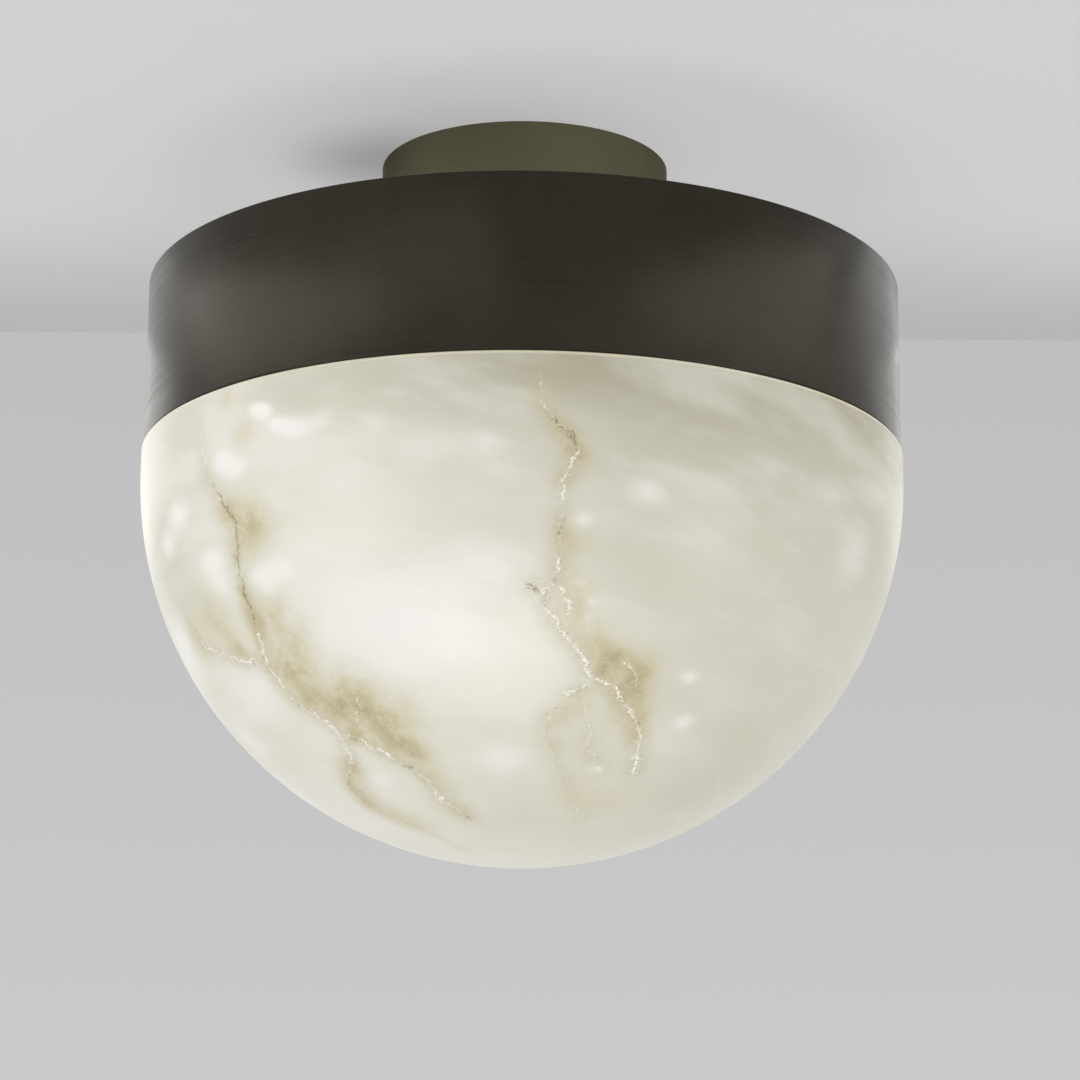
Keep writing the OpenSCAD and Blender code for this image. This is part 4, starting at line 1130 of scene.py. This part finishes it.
def threaded_pipe(name, node, radius, depth, face_r, mouth_r, end, steps):
    """A threaded pipe as high as its node. Its flat ends lie between the mouth's and the face's radius."""
    z0, z1 = heights(node)
    outline = [(mouth_r, z1), (face_r, z1)] + thread(radius, depth, z1 - end, z0 + end, 1.0 * mm)
    outline += [(face_r, z0), (mouth_r, z0), (bore_r, z0 + end), (bore_r, z1 - end), (mouth_r, z1)]
    return turned(name, outline, steps, 60)


tube_r = radius_of("threaded_tube")
tube = threaded_pipe("hanging_tube", "threaded_tube", tube_r, 0.5 * mm, tube_r - 0.7 * mm,
                     bore_r + 0.4 * mm, 0.4 * mm, 48)
place(tube, "fixture", "zinc_steel", "threaded_tube")

nut_bore, nut_h = tube_r + 0.1 * mm, 5 * mm
lock_nut = hex_nut("lock_nut", 17 * mm, nut_bore, nut_h)
place(twin(lock_nut, "brass_nut", (0, 0, heights("drum_nut")[0])), "fixture", "plain_brass", "drum_nut")
lock_nuts = repeated("lock_nuts", lock_nut, [(0, 0, bridge_z + strap_t), (0, 0, bridge_z - nut_h)])
place(lock_nuts, "fixture", "zinc_steel", "tube_lock_nuts")
load_plate = soft_ring("spreader_plate", tube_hole_r, radius_of("load_plate"), *heights("load_plate"),
                       0.5 * mm)
place(load_plate, "fixture", "zinc_steel", "load_plate")

# %% [markdown]
# ## The gear tray
#
# A white sheet metal tray hangs on three studs. Its edge is folded down, and a pressed ring stiffens it.

# %% Tray
tray_low, tray_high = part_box("gear_tray")
tray_r, tray_top, tray_lip = tray_high[0], tray_high[2], tray_low[2]
sheet, bent = 1 * mm, 1.6 * mm
bead_in, bead_out, bead_deep, bead_slope = 131 * mm, 139 * mm, 0.9 * mm, 1.5 * mm
studs_at = at_turns(115 * mm, 90, 210, 330)
holders_at = [centre_of(f"bulb_{k}_globe") for k in (1, 2, 3)]
tray_earth_at = (0, 90 * mm)
clamp_screws_at = [(-8 * mm, 32 * mm), (8 * mm, 32 * mm)]


def tray_surface(z):
    """One surface of the tray from its middle to the fold, with the pressed ring."""
    return [(0, z), (bead_in, z), (bead_in + bead_slope, z - bead_deep),
            (bead_out - bead_slope, z - bead_deep), (bead_out, z)]


outline = tray_surface(tray_top) + arc(tray_r - bent, tray_top - bent, bent, 90, 0)
outline += [(tray_r, tray_lip + 0.3 * mm), (tray_r - sheet / 2, tray_lip),
            (tray_r - sheet, tray_lip + 0.3 * mm)]
outline += arc(tray_r - bent, tray_top - bent, bent - sheet, 0, 90) + tray_surface(tray_top - sheet)[::-1]
tray = turned("reflector_tray", outline, 192)
for radius, spots in ((2.25 * mm, studs_at), (tube_hole_r, holders_at), (earth_hole_r, [tray_earth_at]),
                      (1.5 * mm, clamp_screws_at)):
    carve(tray, *drills(radius, spots, tray_top - 12 * mm, tray_top + 8 * mm))
smooth(tray, 30)
place(tray, "fixture", "white_enamel", "gear_tray")

# %% Studs, sleeves, washers and nuts
z0, z1 = heights("tray_studs")
stud_r, ring_in, ring_out = 2 * mm, 2.1 * mm, 4.5 * mm
outline = [(0, z1), (stud_r, z1), (stud_r, z0 + 14 * mm)]
outline += thread(stud_r, 0.3 * mm, z0 + 13.7 * mm, z0 + 0.5 * mm, 0.7 * mm)
stud = turned("stud", outline + [(1.2 * mm, z0), (0, z0)], 32, 60)
place(repeated("weld_studs", stud, at_height(studs_at)), "fixture", "zinc_steel", "tray_studs")
sleeve = soft_ring("sleeve", ring_in, ring_out, *heights("tray_spacers"), 0.4 * mm, 48)
place(repeated("sleeves", sleeve, at_height(studs_at)), "fixture", "zinc_steel", "tray_spacers")
washer = soft_ring("washer", ring_in, ring_out, *heights("tray_washers"), 0.15 * mm, 48)
place(repeated("washers", washer, at_height(studs_at)), "fixture", "zinc_steel", "tray_washers")
z0, z1 = heights("tray_nuts")
stud_nut = hex_nut("stud_nut", 7 * mm, ring_in, z1 - z0)
flats_ahead = [(0, 0, 30)] * 3
stud_nuts = repeated("stud_nuts", stud_nut, at_height(studs_at, z0), flats_ahead)
place(stud_nuts, "fixture", "zinc_steel", "tray_nuts")

# %% [markdown]
# ## Terminal block and cable clamp
#
# The block is moulded with one tower for each way, a hole through it for the wires, and a well over each
# screw. The clamp is a saddle: two feet, and a bar that two screws pull down on the cable.

# %% Terminal block
block_low, block_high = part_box("terminal_block")
base, top_of = block_low[2], block_high[2]
block_y = centre_of("terminal_block")[1]
front, back = block_y - 8 * mm, block_y + 8 * mm
ways = (-10 * mm, 0.0, 10 * mm)
towers_half, half_tower, tower_round, valley = 17 * mm, 4.2 * mm, 1.2 * mm, base + 9 * mm
outline = [(-towers_half, base), (-towers_half, valley)]
for x in ways:
    outline += [(x - half_tower, valley)]
    outline += arc(x - half_tower + tower_round, top_of - tower_round, tower_round, 180, 90)
    outline += arc(x + half_tower - tower_round, top_of - tower_round, tower_round, 90, 0)
    outline += [(x + half_tower, valley)]
outline += [(towers_half, valley), (towers_half, base)]
block = pushed("towers", [(x, front, z) for x, z in outline], (0, back - front, 0))
wire_z, well_z = base + 4 * mm, heights("terminal_screws")[0]
way_screws_at = [(x, block_y + y) for x in ways for y in (-4 * mm, 4 * mm)]
carve(block, *[rod(1.4 * mm, (x, front - mm, wire_z), (x, back + mm, wire_z)) for x in ways])
carve(block, *drills(2.2 * mm, way_screws_at, well_z, top_of + mm))
foot_plan = plan(0, block_y, block_high[0] - block_low[0], 8 * mm, 2 * mm)
foot = plate("feet", foot_plan, base, base + 2 * mm)
round_edges(foot, 0.3 * mm, 2, 50)
block = joined("terminal_towers", block, foot)
round_edges(block, 0.12 * mm, 1, 60)
smooth(block, 30)
place(block, "fixture", "white_plastic", "terminal_block")

screw = pan_screw("clamp_screw", 1.44 * mm, 3 * mm, 1.8 * mm, 1.6 * mm, 0.5 * mm, 0.6 * mm)
way_screws = repeated("way_screws", screw, at_height(way_screws_at, well_z + 3 * mm), [(0, 0, 35)] * 6)
place(way_screws, "fixture", "plain_brass", "terminal_screws")

# %% Cable clamp, and the earth screw on the tray
clamp_low, clamp_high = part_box("cable_clamp")
clamp_half, z0, z1 = clamp_high[0], clamp_low[2], clamp_high[2]
opening_half, bar, inner_round = 3.5 * mm, 2 * mm, 1 * mm
outer = [(opening_half, z0), (clamp_half, z0)] + arc(clamp_half - bar, z1 - bar, bar, 0, 90)
inner = arc(opening_half - inner_round, z1 - bar - inner_round, inner_round, 90, 0)
outline = outer + mirrored(outer) + mirrored(inner) + inner
clamp = pushed("saddle", [(x, clamp_low[1], z) for x, z in outline], (0, clamp_high[1] - clamp_low[1], 0))
carve(clamp, *drills(1.6 * mm, clamp_screws_at, z0 - mm, z1 + mm))
round_edges(clamp, 0.3 * mm, 2, 50)
smooth(clamp, 30)
place(clamp, "fixture", "white_plastic", "cable_clamp")
screw = pan_screw("saddle_screw", 1.4 * mm, z1 - z0 + sheet, 2.8 * mm, 2 * mm, 0.5 * mm)
saddle_screws = repeated("saddle_screws", screw, at_height(clamp_screws_at, z1), [(0, 0, 20), (0, 0, 70)])
place(saddle_screws, "fixture", "zinc_steel", "cable_clamp_screws")

earth_head_z = tray_top + 0.8 * mm
ring = soft_ring("earth_washer", 1.9 * mm, 4 * mm, tray_top, earth_head_z, 0.15 * mm, 48)
ring = repeated("earth_washer", ring, at_height([tray_earth_at]))
screw = pan_screw("tray_screw", shank=sheet + 3 * mm, **m4)
screw = repeated("tray_screw", screw, at_height([tray_earth_at], earth_head_z), [(0, 0, 50)])
place(joined("tray_earth", screw, ring), "fixture", "plain_brass", "tray_earth_screw")

# %% [markdown]
# ## Lampholders
#
# Each lampholder hangs from a hollow nipple. Its skirt unscrews, so it has ribs for the fingers.

# %% Nipples, nuts, caps, inserts and skirts
nipple = threaded_pipe("nipple", "holder_nipples", 5 * mm, 0.45 * mm, 4.4 * mm, 4 * mm, 0.3 * mm, 40)
place(repeated("nipples", nipple, at_height(holders_at)), "fixture", "zinc_steel", "holder_nipples")
holder_nut = hex_nut("holder_nut", 14 * mm, nut_bore, 4 * mm)
nipple_nuts = repeated("nipple_nuts", holder_nut, at_height(holders_at, tray_top), flats_ahead)
place(nipple_nuts, "fixture", "zinc_steel", "holder_nuts")

z0, z1 = heights("holder_1_cap")
holder_r, holder_wall, floor_t, cap_round = 14 * mm, 2 * mm, 6 * mm, 1.5 * mm
inner_r, skirt_top_r = holder_r - holder_wall, holder_r - 0.5 * mm
outline = [(nut_bore, z1), (holder_r - cap_round, z1)]
outline += arc(holder_r - cap_round, z1 - cap_round, cap_round, 90, 0)
outline += [(holder_r, z0 + 2.2 * mm), (skirt_top_r, z0 + 1.8 * mm), (skirt_top_r, z0), (inner_r, z0),
            (inner_r, z1 - floor_t), (nut_bore, z1 - floor_t), (nut_bore, z1)]
holder_cap = turned("holder_cap", outline, 96, 40)

z0, z1 = heights("holder_1_insert")
insert_r, insert_edge, wire_at = inner_r - 0.2 * mm, 0.6 * mm, 9.53 * mm
outline = [(0, z1), (insert_r - insert_edge, z1), (insert_r, z1 - insert_edge),
           (insert_r, z0 + insert_edge), (insert_r - insert_edge, z0), (0, z0)]
insert = turned("holder_insert", outline, 72)
carve(insert, *drills(1.3 * mm, [(0, -wire_at), (0, wire_at)], -120 * mm, -100 * mm))
smooth(insert, 40)

z0, z1 = heights("holder_1_skirt")
mouth_r, low_r = 8.53 * mm, holder_r - 1.5 * mm
outline = [(inner_r, z1), (skirt_top_r, z1), (holder_r - 0.6 * mm, z1 - 2 * mm),
           (low_r - 0.5 * mm, z0 + 1.5 * mm), (low_r - 1.5 * mm, z0), (mouth_r + 0.4 * mm, z0),
           (mouth_r, z0 + 0.4 * mm), (mouth_r, z0 + 2 * mm), (inner_r - mm, z0 + 2 * mm), (inner_r, z1)]
skirt = turned("holder_skirt", outline, 96)
rib_half, rib_count = 0.4 * mm, 24
rib_side = [(12.6 * mm, z1 - 2 * mm), (13.75 * mm, z1 - 2 * mm),
            (12.45 * mm, z0 + 2.2 * mm), (11.4 * mm, z0 + 2.2 * mm)]
rib = pushed("rib", [(x, -rib_half, z) for x, z in rib_side], (0, 2 * rib_half, 0))
round_edges(rib, 0.25 * mm, 2)
rib_turns = [(0, 0, 360 / rib_count * i) for i in range(rib_count)]
ribs = repeated("ribs", rib, [(0, 0, 0)] * rib_count, rib_turns)
skirt = joined("holder_skirt", skirt, ribs)
smooth(skirt, 40)

for k, at in enumerate(at_height(holders_at), 1):
    for part, name, slot_name in ((holder_cap, "cap", "white_plastic"), (insert, "insert", "white_ceramic"),
                                  (skirt, "skirt", "white_plastic")):
        place(twin(part, f"lampholder_{k}_{name}", at), "fixture", slot_name, f"holder_{k}_{name}")
delete(holder_cap, insert, skirt)

# %% [markdown]
# ## Bulbs
#
# A small screw bulb has four outside parts: a cap with a rolled thread, a black glass insulator with a
# solder tip, a white housing, and the opal globe. A rolled thread is round, so a cosine draws it.

# %% Bulb parts
z0, z1 = heights("bulb_1_cap")
crest, deep, rolls, steps_of_roll, roll_step = 6.95 * mm, 0.7 * mm, 4, 10, 0.282 * mm
outline = [(0, z1), (crest - 1.6 * mm, z1), (crest - 0.9 * mm, z1 - 0.3 * mm)]
for i in range(rolls * steps_of_roll + 1):
    wave = 0.5 + 0.5 * math.cos(2 * math.pi * i / steps_of_roll)
    outline.append((crest - deep * wave, z1 - 0.9 * mm - i * roll_step))
outline += [(crest - deep, z0 + 1.2 * mm), (crest - 0.1 * mm, z0 + 0.9 * mm), (crest - 0.1 * mm, z0),
            (0, z0)]
bulb_cap = turned("bulb_cap", outline, 64, 50)

z0, z1 = heights("bulb_1_contact")
tip = 1.2 * mm
glass_top = z1 - tip
outline = [(0, glass_top), (2.8 * mm, glass_top), (3.2 * mm, glass_top - 0.2 * mm),
           (6.0 * mm, z0 + 0.3 * mm), (6.2 * mm, z0), (0, z0)]
bulb_glass = turned("bulb_glass", outline, 48, 50)
outline = [(0, glass_top + tip), (1.2 * mm, glass_top + tip * 0.93), (2.0 * mm, glass_top + tip * 0.6),
           (2.4 * mm, glass_top + 0.1 * mm), (2.4 * mm, glass_top), (0, glass_top)]
bulb_tip = turned("bulb_tip", outline, 40, 60)

z0, z1 = heights("bulb_1_housing")
neck_r, wide_r = 7.85 * mm, 17 * mm
groove_r = wide_r - 0.35 * mm
curve_top, curve_steps = z1 - 3 * mm, 14
outline = [(0, z1), (neck_r - 0.3 * mm, z1), (neck_r, z1 - 0.3 * mm)]
for i in range(curve_steps + 1):
    flare = (wide_r - neck_r) * math.sin(math.pi / 2 * i / curve_steps) ** 1.15
    fall = (curve_top - z0 - 2.4 * mm) * i / curve_steps
    outline.append((neck_r + flare, curve_top - fall))
outline += [(wide_r, z0 + 1.6 * mm), (groove_r, z0 + 1.4 * mm), (groove_r, z0 + 1.1 * mm),
            (wide_r, z0 + 0.9 * mm), (wide_r, z0), (0, z0)]
housing = turned("bulb_housing", outline, 96, 40)

globe_low, globe_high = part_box("bulb_1_globe")
globe_r = (globe_high[0] - globe_low[0]) / 2
globe_z = globe_low[2] + globe_r
open_at = math.degrees(math.acos((globe_high[2] - globe_z) / globe_r))
globe = turned("bulb_globe", [(0, globe_high[2])] + arc(0, globe_z, globe_r, 90 - open_at, -90, 40), 96, 40)

for k, at in enumerate(at_height(holders_at), 1):
    for part, name, slot_name, node in (
        (bulb_cap, "cap", "zinc_steel", "cap"), (bulb_glass, "insulator", "black_glass", "contact"),
        (bulb_tip, "tip", "plain_brass", None), (housing, "housing", "white_plastic", "housing"),
        (globe, "globe", "opal_glass", "globe"),
    ):
        stands_for = [f"bulb_{k}_{node}"] if node else []
        place(twin(part, f"lamp_{k}_{name}", at), f"bulb_{k}", slot_name, *stands_for)
delete(bulb_cap, bulb_glass, bulb_tip, housing, globe)

# %% [markdown]
# ## The bayonet
#
# The collar is bonded into the stone. Three lugs are riveted to it, and they rest on a ledge in the drum.
# All their edges are slightly round, so that the lugs slide on and off without biting.

# %% Collar, lugs, rivets, seal and ledge
def wedge(half_angle, low, high):
    """A three sided block with its corner on the axis, to cut a ring with. It points along X."""
    reach = 0.3
    side_y = reach * math.tan(math.radians(half_angle))
    return plate("wedge", [(0, 0), (reach, -side_y), (reach, side_y)], low - mm, high + mm)


collar_r, collar_t = radius_of("bowl_collar"), 2.5 * mm
collar = soft_ring("bonded_collar", collar_r - collar_t, collar_r, *heights("bowl_collar"), 0.7 * mm, 256)
place(collar, "bowl", "plain_brass", "bowl_collar")

z0, z1 = heights("rim_seal")
seal_in, seal_out = 154.1 * mm, radius_of("rim_seal")
seal = soft_ring("soft_seal", seal_in, seal_out, z0, z1, 0.3 * (z1 - z0), 256)
place(seal, "bowl", "black_rubber", "rim_seal")

z0, z1 = heights("bayonet_lugs")
lug_out, lug_turns = 157.7 * mm, (60, 180, 300)
lug = soft_ring("lug", collar_r, lug_out, z0, z1, 0.4 * mm, 288)
carve(lug, wedge(12, z0, z1), keep=True)
smooth(lug, 30)
lugs = repeated("lugs", lug, [(0, 0, 0)] * 3, [(0, 0, turn) for turn in lug_turns])
place(lugs, "bowl", "zinc_steel", "bayonet_lugs")

rivet_out, rivet_off = 2.7 * mm, 6.72
head_at = -(collar_t + 0.05 * mm)
outline = [(0, head_at - 1 * mm), (1.0 * mm, head_at - 0.92 * mm), (1.9 * mm, head_at - 0.65 * mm),
           (2.5 * mm, head_at - 0.2 * mm), (2.6 * mm, head_at), (1.2 * mm, head_at), (1.2 * mm, rivet_out),
           (0, rivet_out)]
rivet = turned("rivet", outline, 32, 50)
rivet_turns = [middle + off for middle in lug_turns for off in (-rivet_off, rivet_off)]
rivets_at = at_height(at_turns(collar_r, *rivet_turns), (z0 + z1) / 2)
rivets = repeated("rivets", rivet, rivets_at, [(0, 90, turn) for turn in rivet_turns])
place(rivets, "bowl", "zinc_steel", "lug_rivets")

z0, z1 = heights("bayonet_ring")
ledge_in, ledge_out = 153.5 * mm, radius_of("bayonet_ring")
ledge = soft_ring("ledge", ledge_in, ledge_out, z0, z1, 0.3 * mm, 288)
gap_from, gap_to = 17.5, 45.0
for turn in (0, 120, 240):
    opening = wedge((gap_to - gap_from) / 2, z0, z1)
    opening.rotation_euler.z = math.radians((gap_from + gap_to) / 2 + turn)
    settle(opening)
    carve(ledge, opening)
smooth(ledge, 30)
place(ledge, "fixture", "zinc_steel", "bayonet_ring")

# %% [markdown]
# ## Finishes for the CAD pieces
#
# Springs, wires, screw shells and the like already have the right shape in the CAD model. Such a node only
# gets its finish, in its own material slot.

# %% Dress the CAD nodes
slot_of_node = {part["node"]: part["material_slot"] for part in frame["record"]["subparts"]}
for name, node in nodes.items():
    for slot in node.material_slots:
        slot.material = finish_of_slot[slot_of_node[name]]
print("nodes dressed:", len(slot_of_node))


# %% [markdown]
# ## The room
#
# The light hangs from a pale ceiling, which ends in a straight line behind it. There a plain wall begins,
# and the world far behind plays that wall. The ceiling shows its own pale colour to the camera and in
# reflections, mixed with a part that takes the real soft shadow round the canopy. More soft shadow is
# painted round the canopy, and the paint darkens towards the ceiling's far edge as painted shade. Each
# plane is see-through from its back, so that a view from above or behind isn't blocked.

# %% Ceiling and floor
def seen_rays(f):
    """1 for rays that make the picture: from the camera, in reflections and through glass."""
    rays = f.add("LightPath").outputs
    return f.larger(f.larger(rays["Is Camera Ray"], rays["Is Glossy Ray"]), rays["Is Transmission Ray"])


def backdrop(name, near, far, near_y, far_y, share, shadows=()):
    """Paint seen from one side only, from a near to a far colour, with painted shadows. A share of its
    colour shows whatever the light.
    """
    f = Finish(name, Roughness=0.9, Specular_IOR_Level=0.1)
    across = f.add("SeparateXYZ", {"Vector": f.position}).outputs["Y"]
    uneven = f.fit(f.noise(3.0, 3, 0.5), 0.3, 0.7, 0.0, 0.03)
    # The paint goes from the near colour to the far one; on the ceiling that is painted shade.
    paint = f.mix(uneven, f.mix(f.fit(across, near_y, far_y), near, far), (0.3, 0.3, 0.3, 1))
    # Painted shadows: the paint darkens towards each given spot.
    for x, y, reach, depth in shadows:
        gap = f.add("VectorMath", {0: f.position, 1: (x, y, 0)}, operation="DISTANCE").outputs["Value"]
        paint = f.mix(f.fit(gap, 0.0, reach, depth, 0.0), paint, (0.1, 0.1, 0.1, 1))
    f.feed(Base_Color=paint)
    own = f.add("Emission", {"Color": paint, "Strength": 1.0})
    seen = f.times(seen_rays(f), share)
    shown = f.add("MixShader", {0: seen, 1: f.shader.outputs[0], 2: own.outputs[0]})
    clear = f.add("BsdfTransparent")
    facing = f.add("NewGeometry").outputs["Backfacing"]
    sided = f.add("MixShader", {0: facing, 1: shown.outputs[0], 2: clear.outputs[0]})
    f.tree.links.new(sided.outputs[0], f.tree.nodes["Material Output"].inputs["Surface"])
    return f.material


def plane(name, low, high, height, paint, face_down):
    """A painted rectangle of the room, which isn't a piece of the light."""
    select()
    middle = ((low[0] + high[0]) / 2, (low[1] + high[1]) / 2, height)
    bpy.ops.mesh.primitive_plane_add(size=1, location=middle)
    piece = bpy.context.object
    piece.name = name
    piece.scale = (high[0] - low[0], high[1] - low[1], 1)
    if face_down:
        piece.rotation_euler = (math.pi, 0, 0)
    settle(piece)
    piece.data.materials.append(paint)


ceiling_edge = 0.235
# Soft shadows painted beside the canopy: across, back, reach and depth
canopy_shadows = ((-0.062, -0.012, 0.055, 0.38), (-0.02, -0.02, 0.11, 0.3))
ceiling_paint = backdrop("ceiling_paint", shade(215, 215, 215), shade(190, 190, 190), 0.03, ceiling_edge,
                         0.8, canopy_shadows)
floor_paint = backdrop("floor_paint", shade(214, 213, 210), shade(214, 213, 210), -6, 6, 0.5)
plane("ceiling", (-4, -5), (4, ceiling_edge), 0.3 * mm, ceiling_paint, True)
plane("floor", (-6, -6), (6, 6), -2.4, floor_paint, False)
print("the ceiling ends", ceiling_edge, "m behind the light's axis")


# %% [markdown]
# ## Light
#
# Soft lamps stand in for the windows of a room: one in front on the left, one on the right, and one low in
# front. Flat panels by the ceiling, left and right of the light, are there for the metal: a dark polished
# drum shows nothing of its own shape until it reflects something bright beside it. Two lamps behind, above
# the ceiling's far edge, draw the pale lines down the drum's sides.

# %% Lamps and world
def soft_lamp(name, at, aim, size, power):
    """A rectangular lamp that looks at a point. Its power is in watts."""
    data = bpy.data.lights.new(name, "AREA")
    data.shape = "RECTANGLE"
    data.size, data.size_y = size
    data.energy = power
    lamp = bpy.data.objects.new(name, data)
    lamp.location = at
    lamp.rotation_euler = (Vector(aim) - Vector(at)).to_track_quat("-Z", "Y").to_euler()
    bpy.context.collection.objects.link(lamp)


light_middle, rim_aim = (0, 0, -0.16), (0, 0, -0.1)
soft_lamp("left_window", (-1.7, -1.2, -0.9), light_middle, (1.0, 1.0), 6)
soft_lamp("right_window", (1.7, -1.2, -0.9), light_middle, (1.0, 1.0), 6)
soft_lamp("low_window", (-0.15, -1.0, -2.25), light_middle, (1.4, 1.4), 33)
for name, x, y, size, power in (
    ("left_panel", -0.75, -0.3, (0.9, 0.7), 3.2),
    ("left_inner_panel", -0.155, -0.5, (0.23, 0.5), 0.18),
    ("right_panel", 0.62, -0.35, (0.75, 0.6), 1.5),
    ("left_side", -0.55, 0.13, (0.7, 0.2), 0.16),
    ("right_side", 0.55, 0.115, (0.7, 0.23), 0.25),
    ("left_far_side", -0.72, 0.12, (0.45, 0.23), 0.26),
):
    soft_lamp(name, (x, y, -0.01), (x, y, -1), size, power)
soft_lamp("left_rim", (-1.2, 1.5, 0.38), rim_aim, (1.2, 0.5), 2.45)
soft_lamp("right_rim", (1.2, 1.5, 0.38), rim_aim, (1.2, 0.5), 1.6)

world = bpy.data.worlds.new("room")
bpy.context.scene.world = world
world.use_nodes = True
sky = Nodes(world.node_tree)
looking = sky.add("TexCoord").outputs["Generated"]
slope = sky.add("SeparateXYZ", {0: looking}).outputs["Z"]
# Painted shade on the wall: darker up towards the ceiling's edge, lighter lower down.
lower_wall = sky.fit(slope, 0.31, 0.1, kind="LINEAR")
wall_tone = sky.mix(lower_wall, shade(190, 190, 190), shade(203, 203, 203))
room_tone = sky.mix(seen_rays(sky), (0.34, 0.34, 0.34, 1), wall_tone)
sky.tree.links.new(room_tone, sky.tree.nodes["Background"].inputs["Color"])

view = bpy.context.scene.view_settings
view.view_transform = "Standard"
print("lamps:", [lamp.name for lamp in bpy.data.lights])
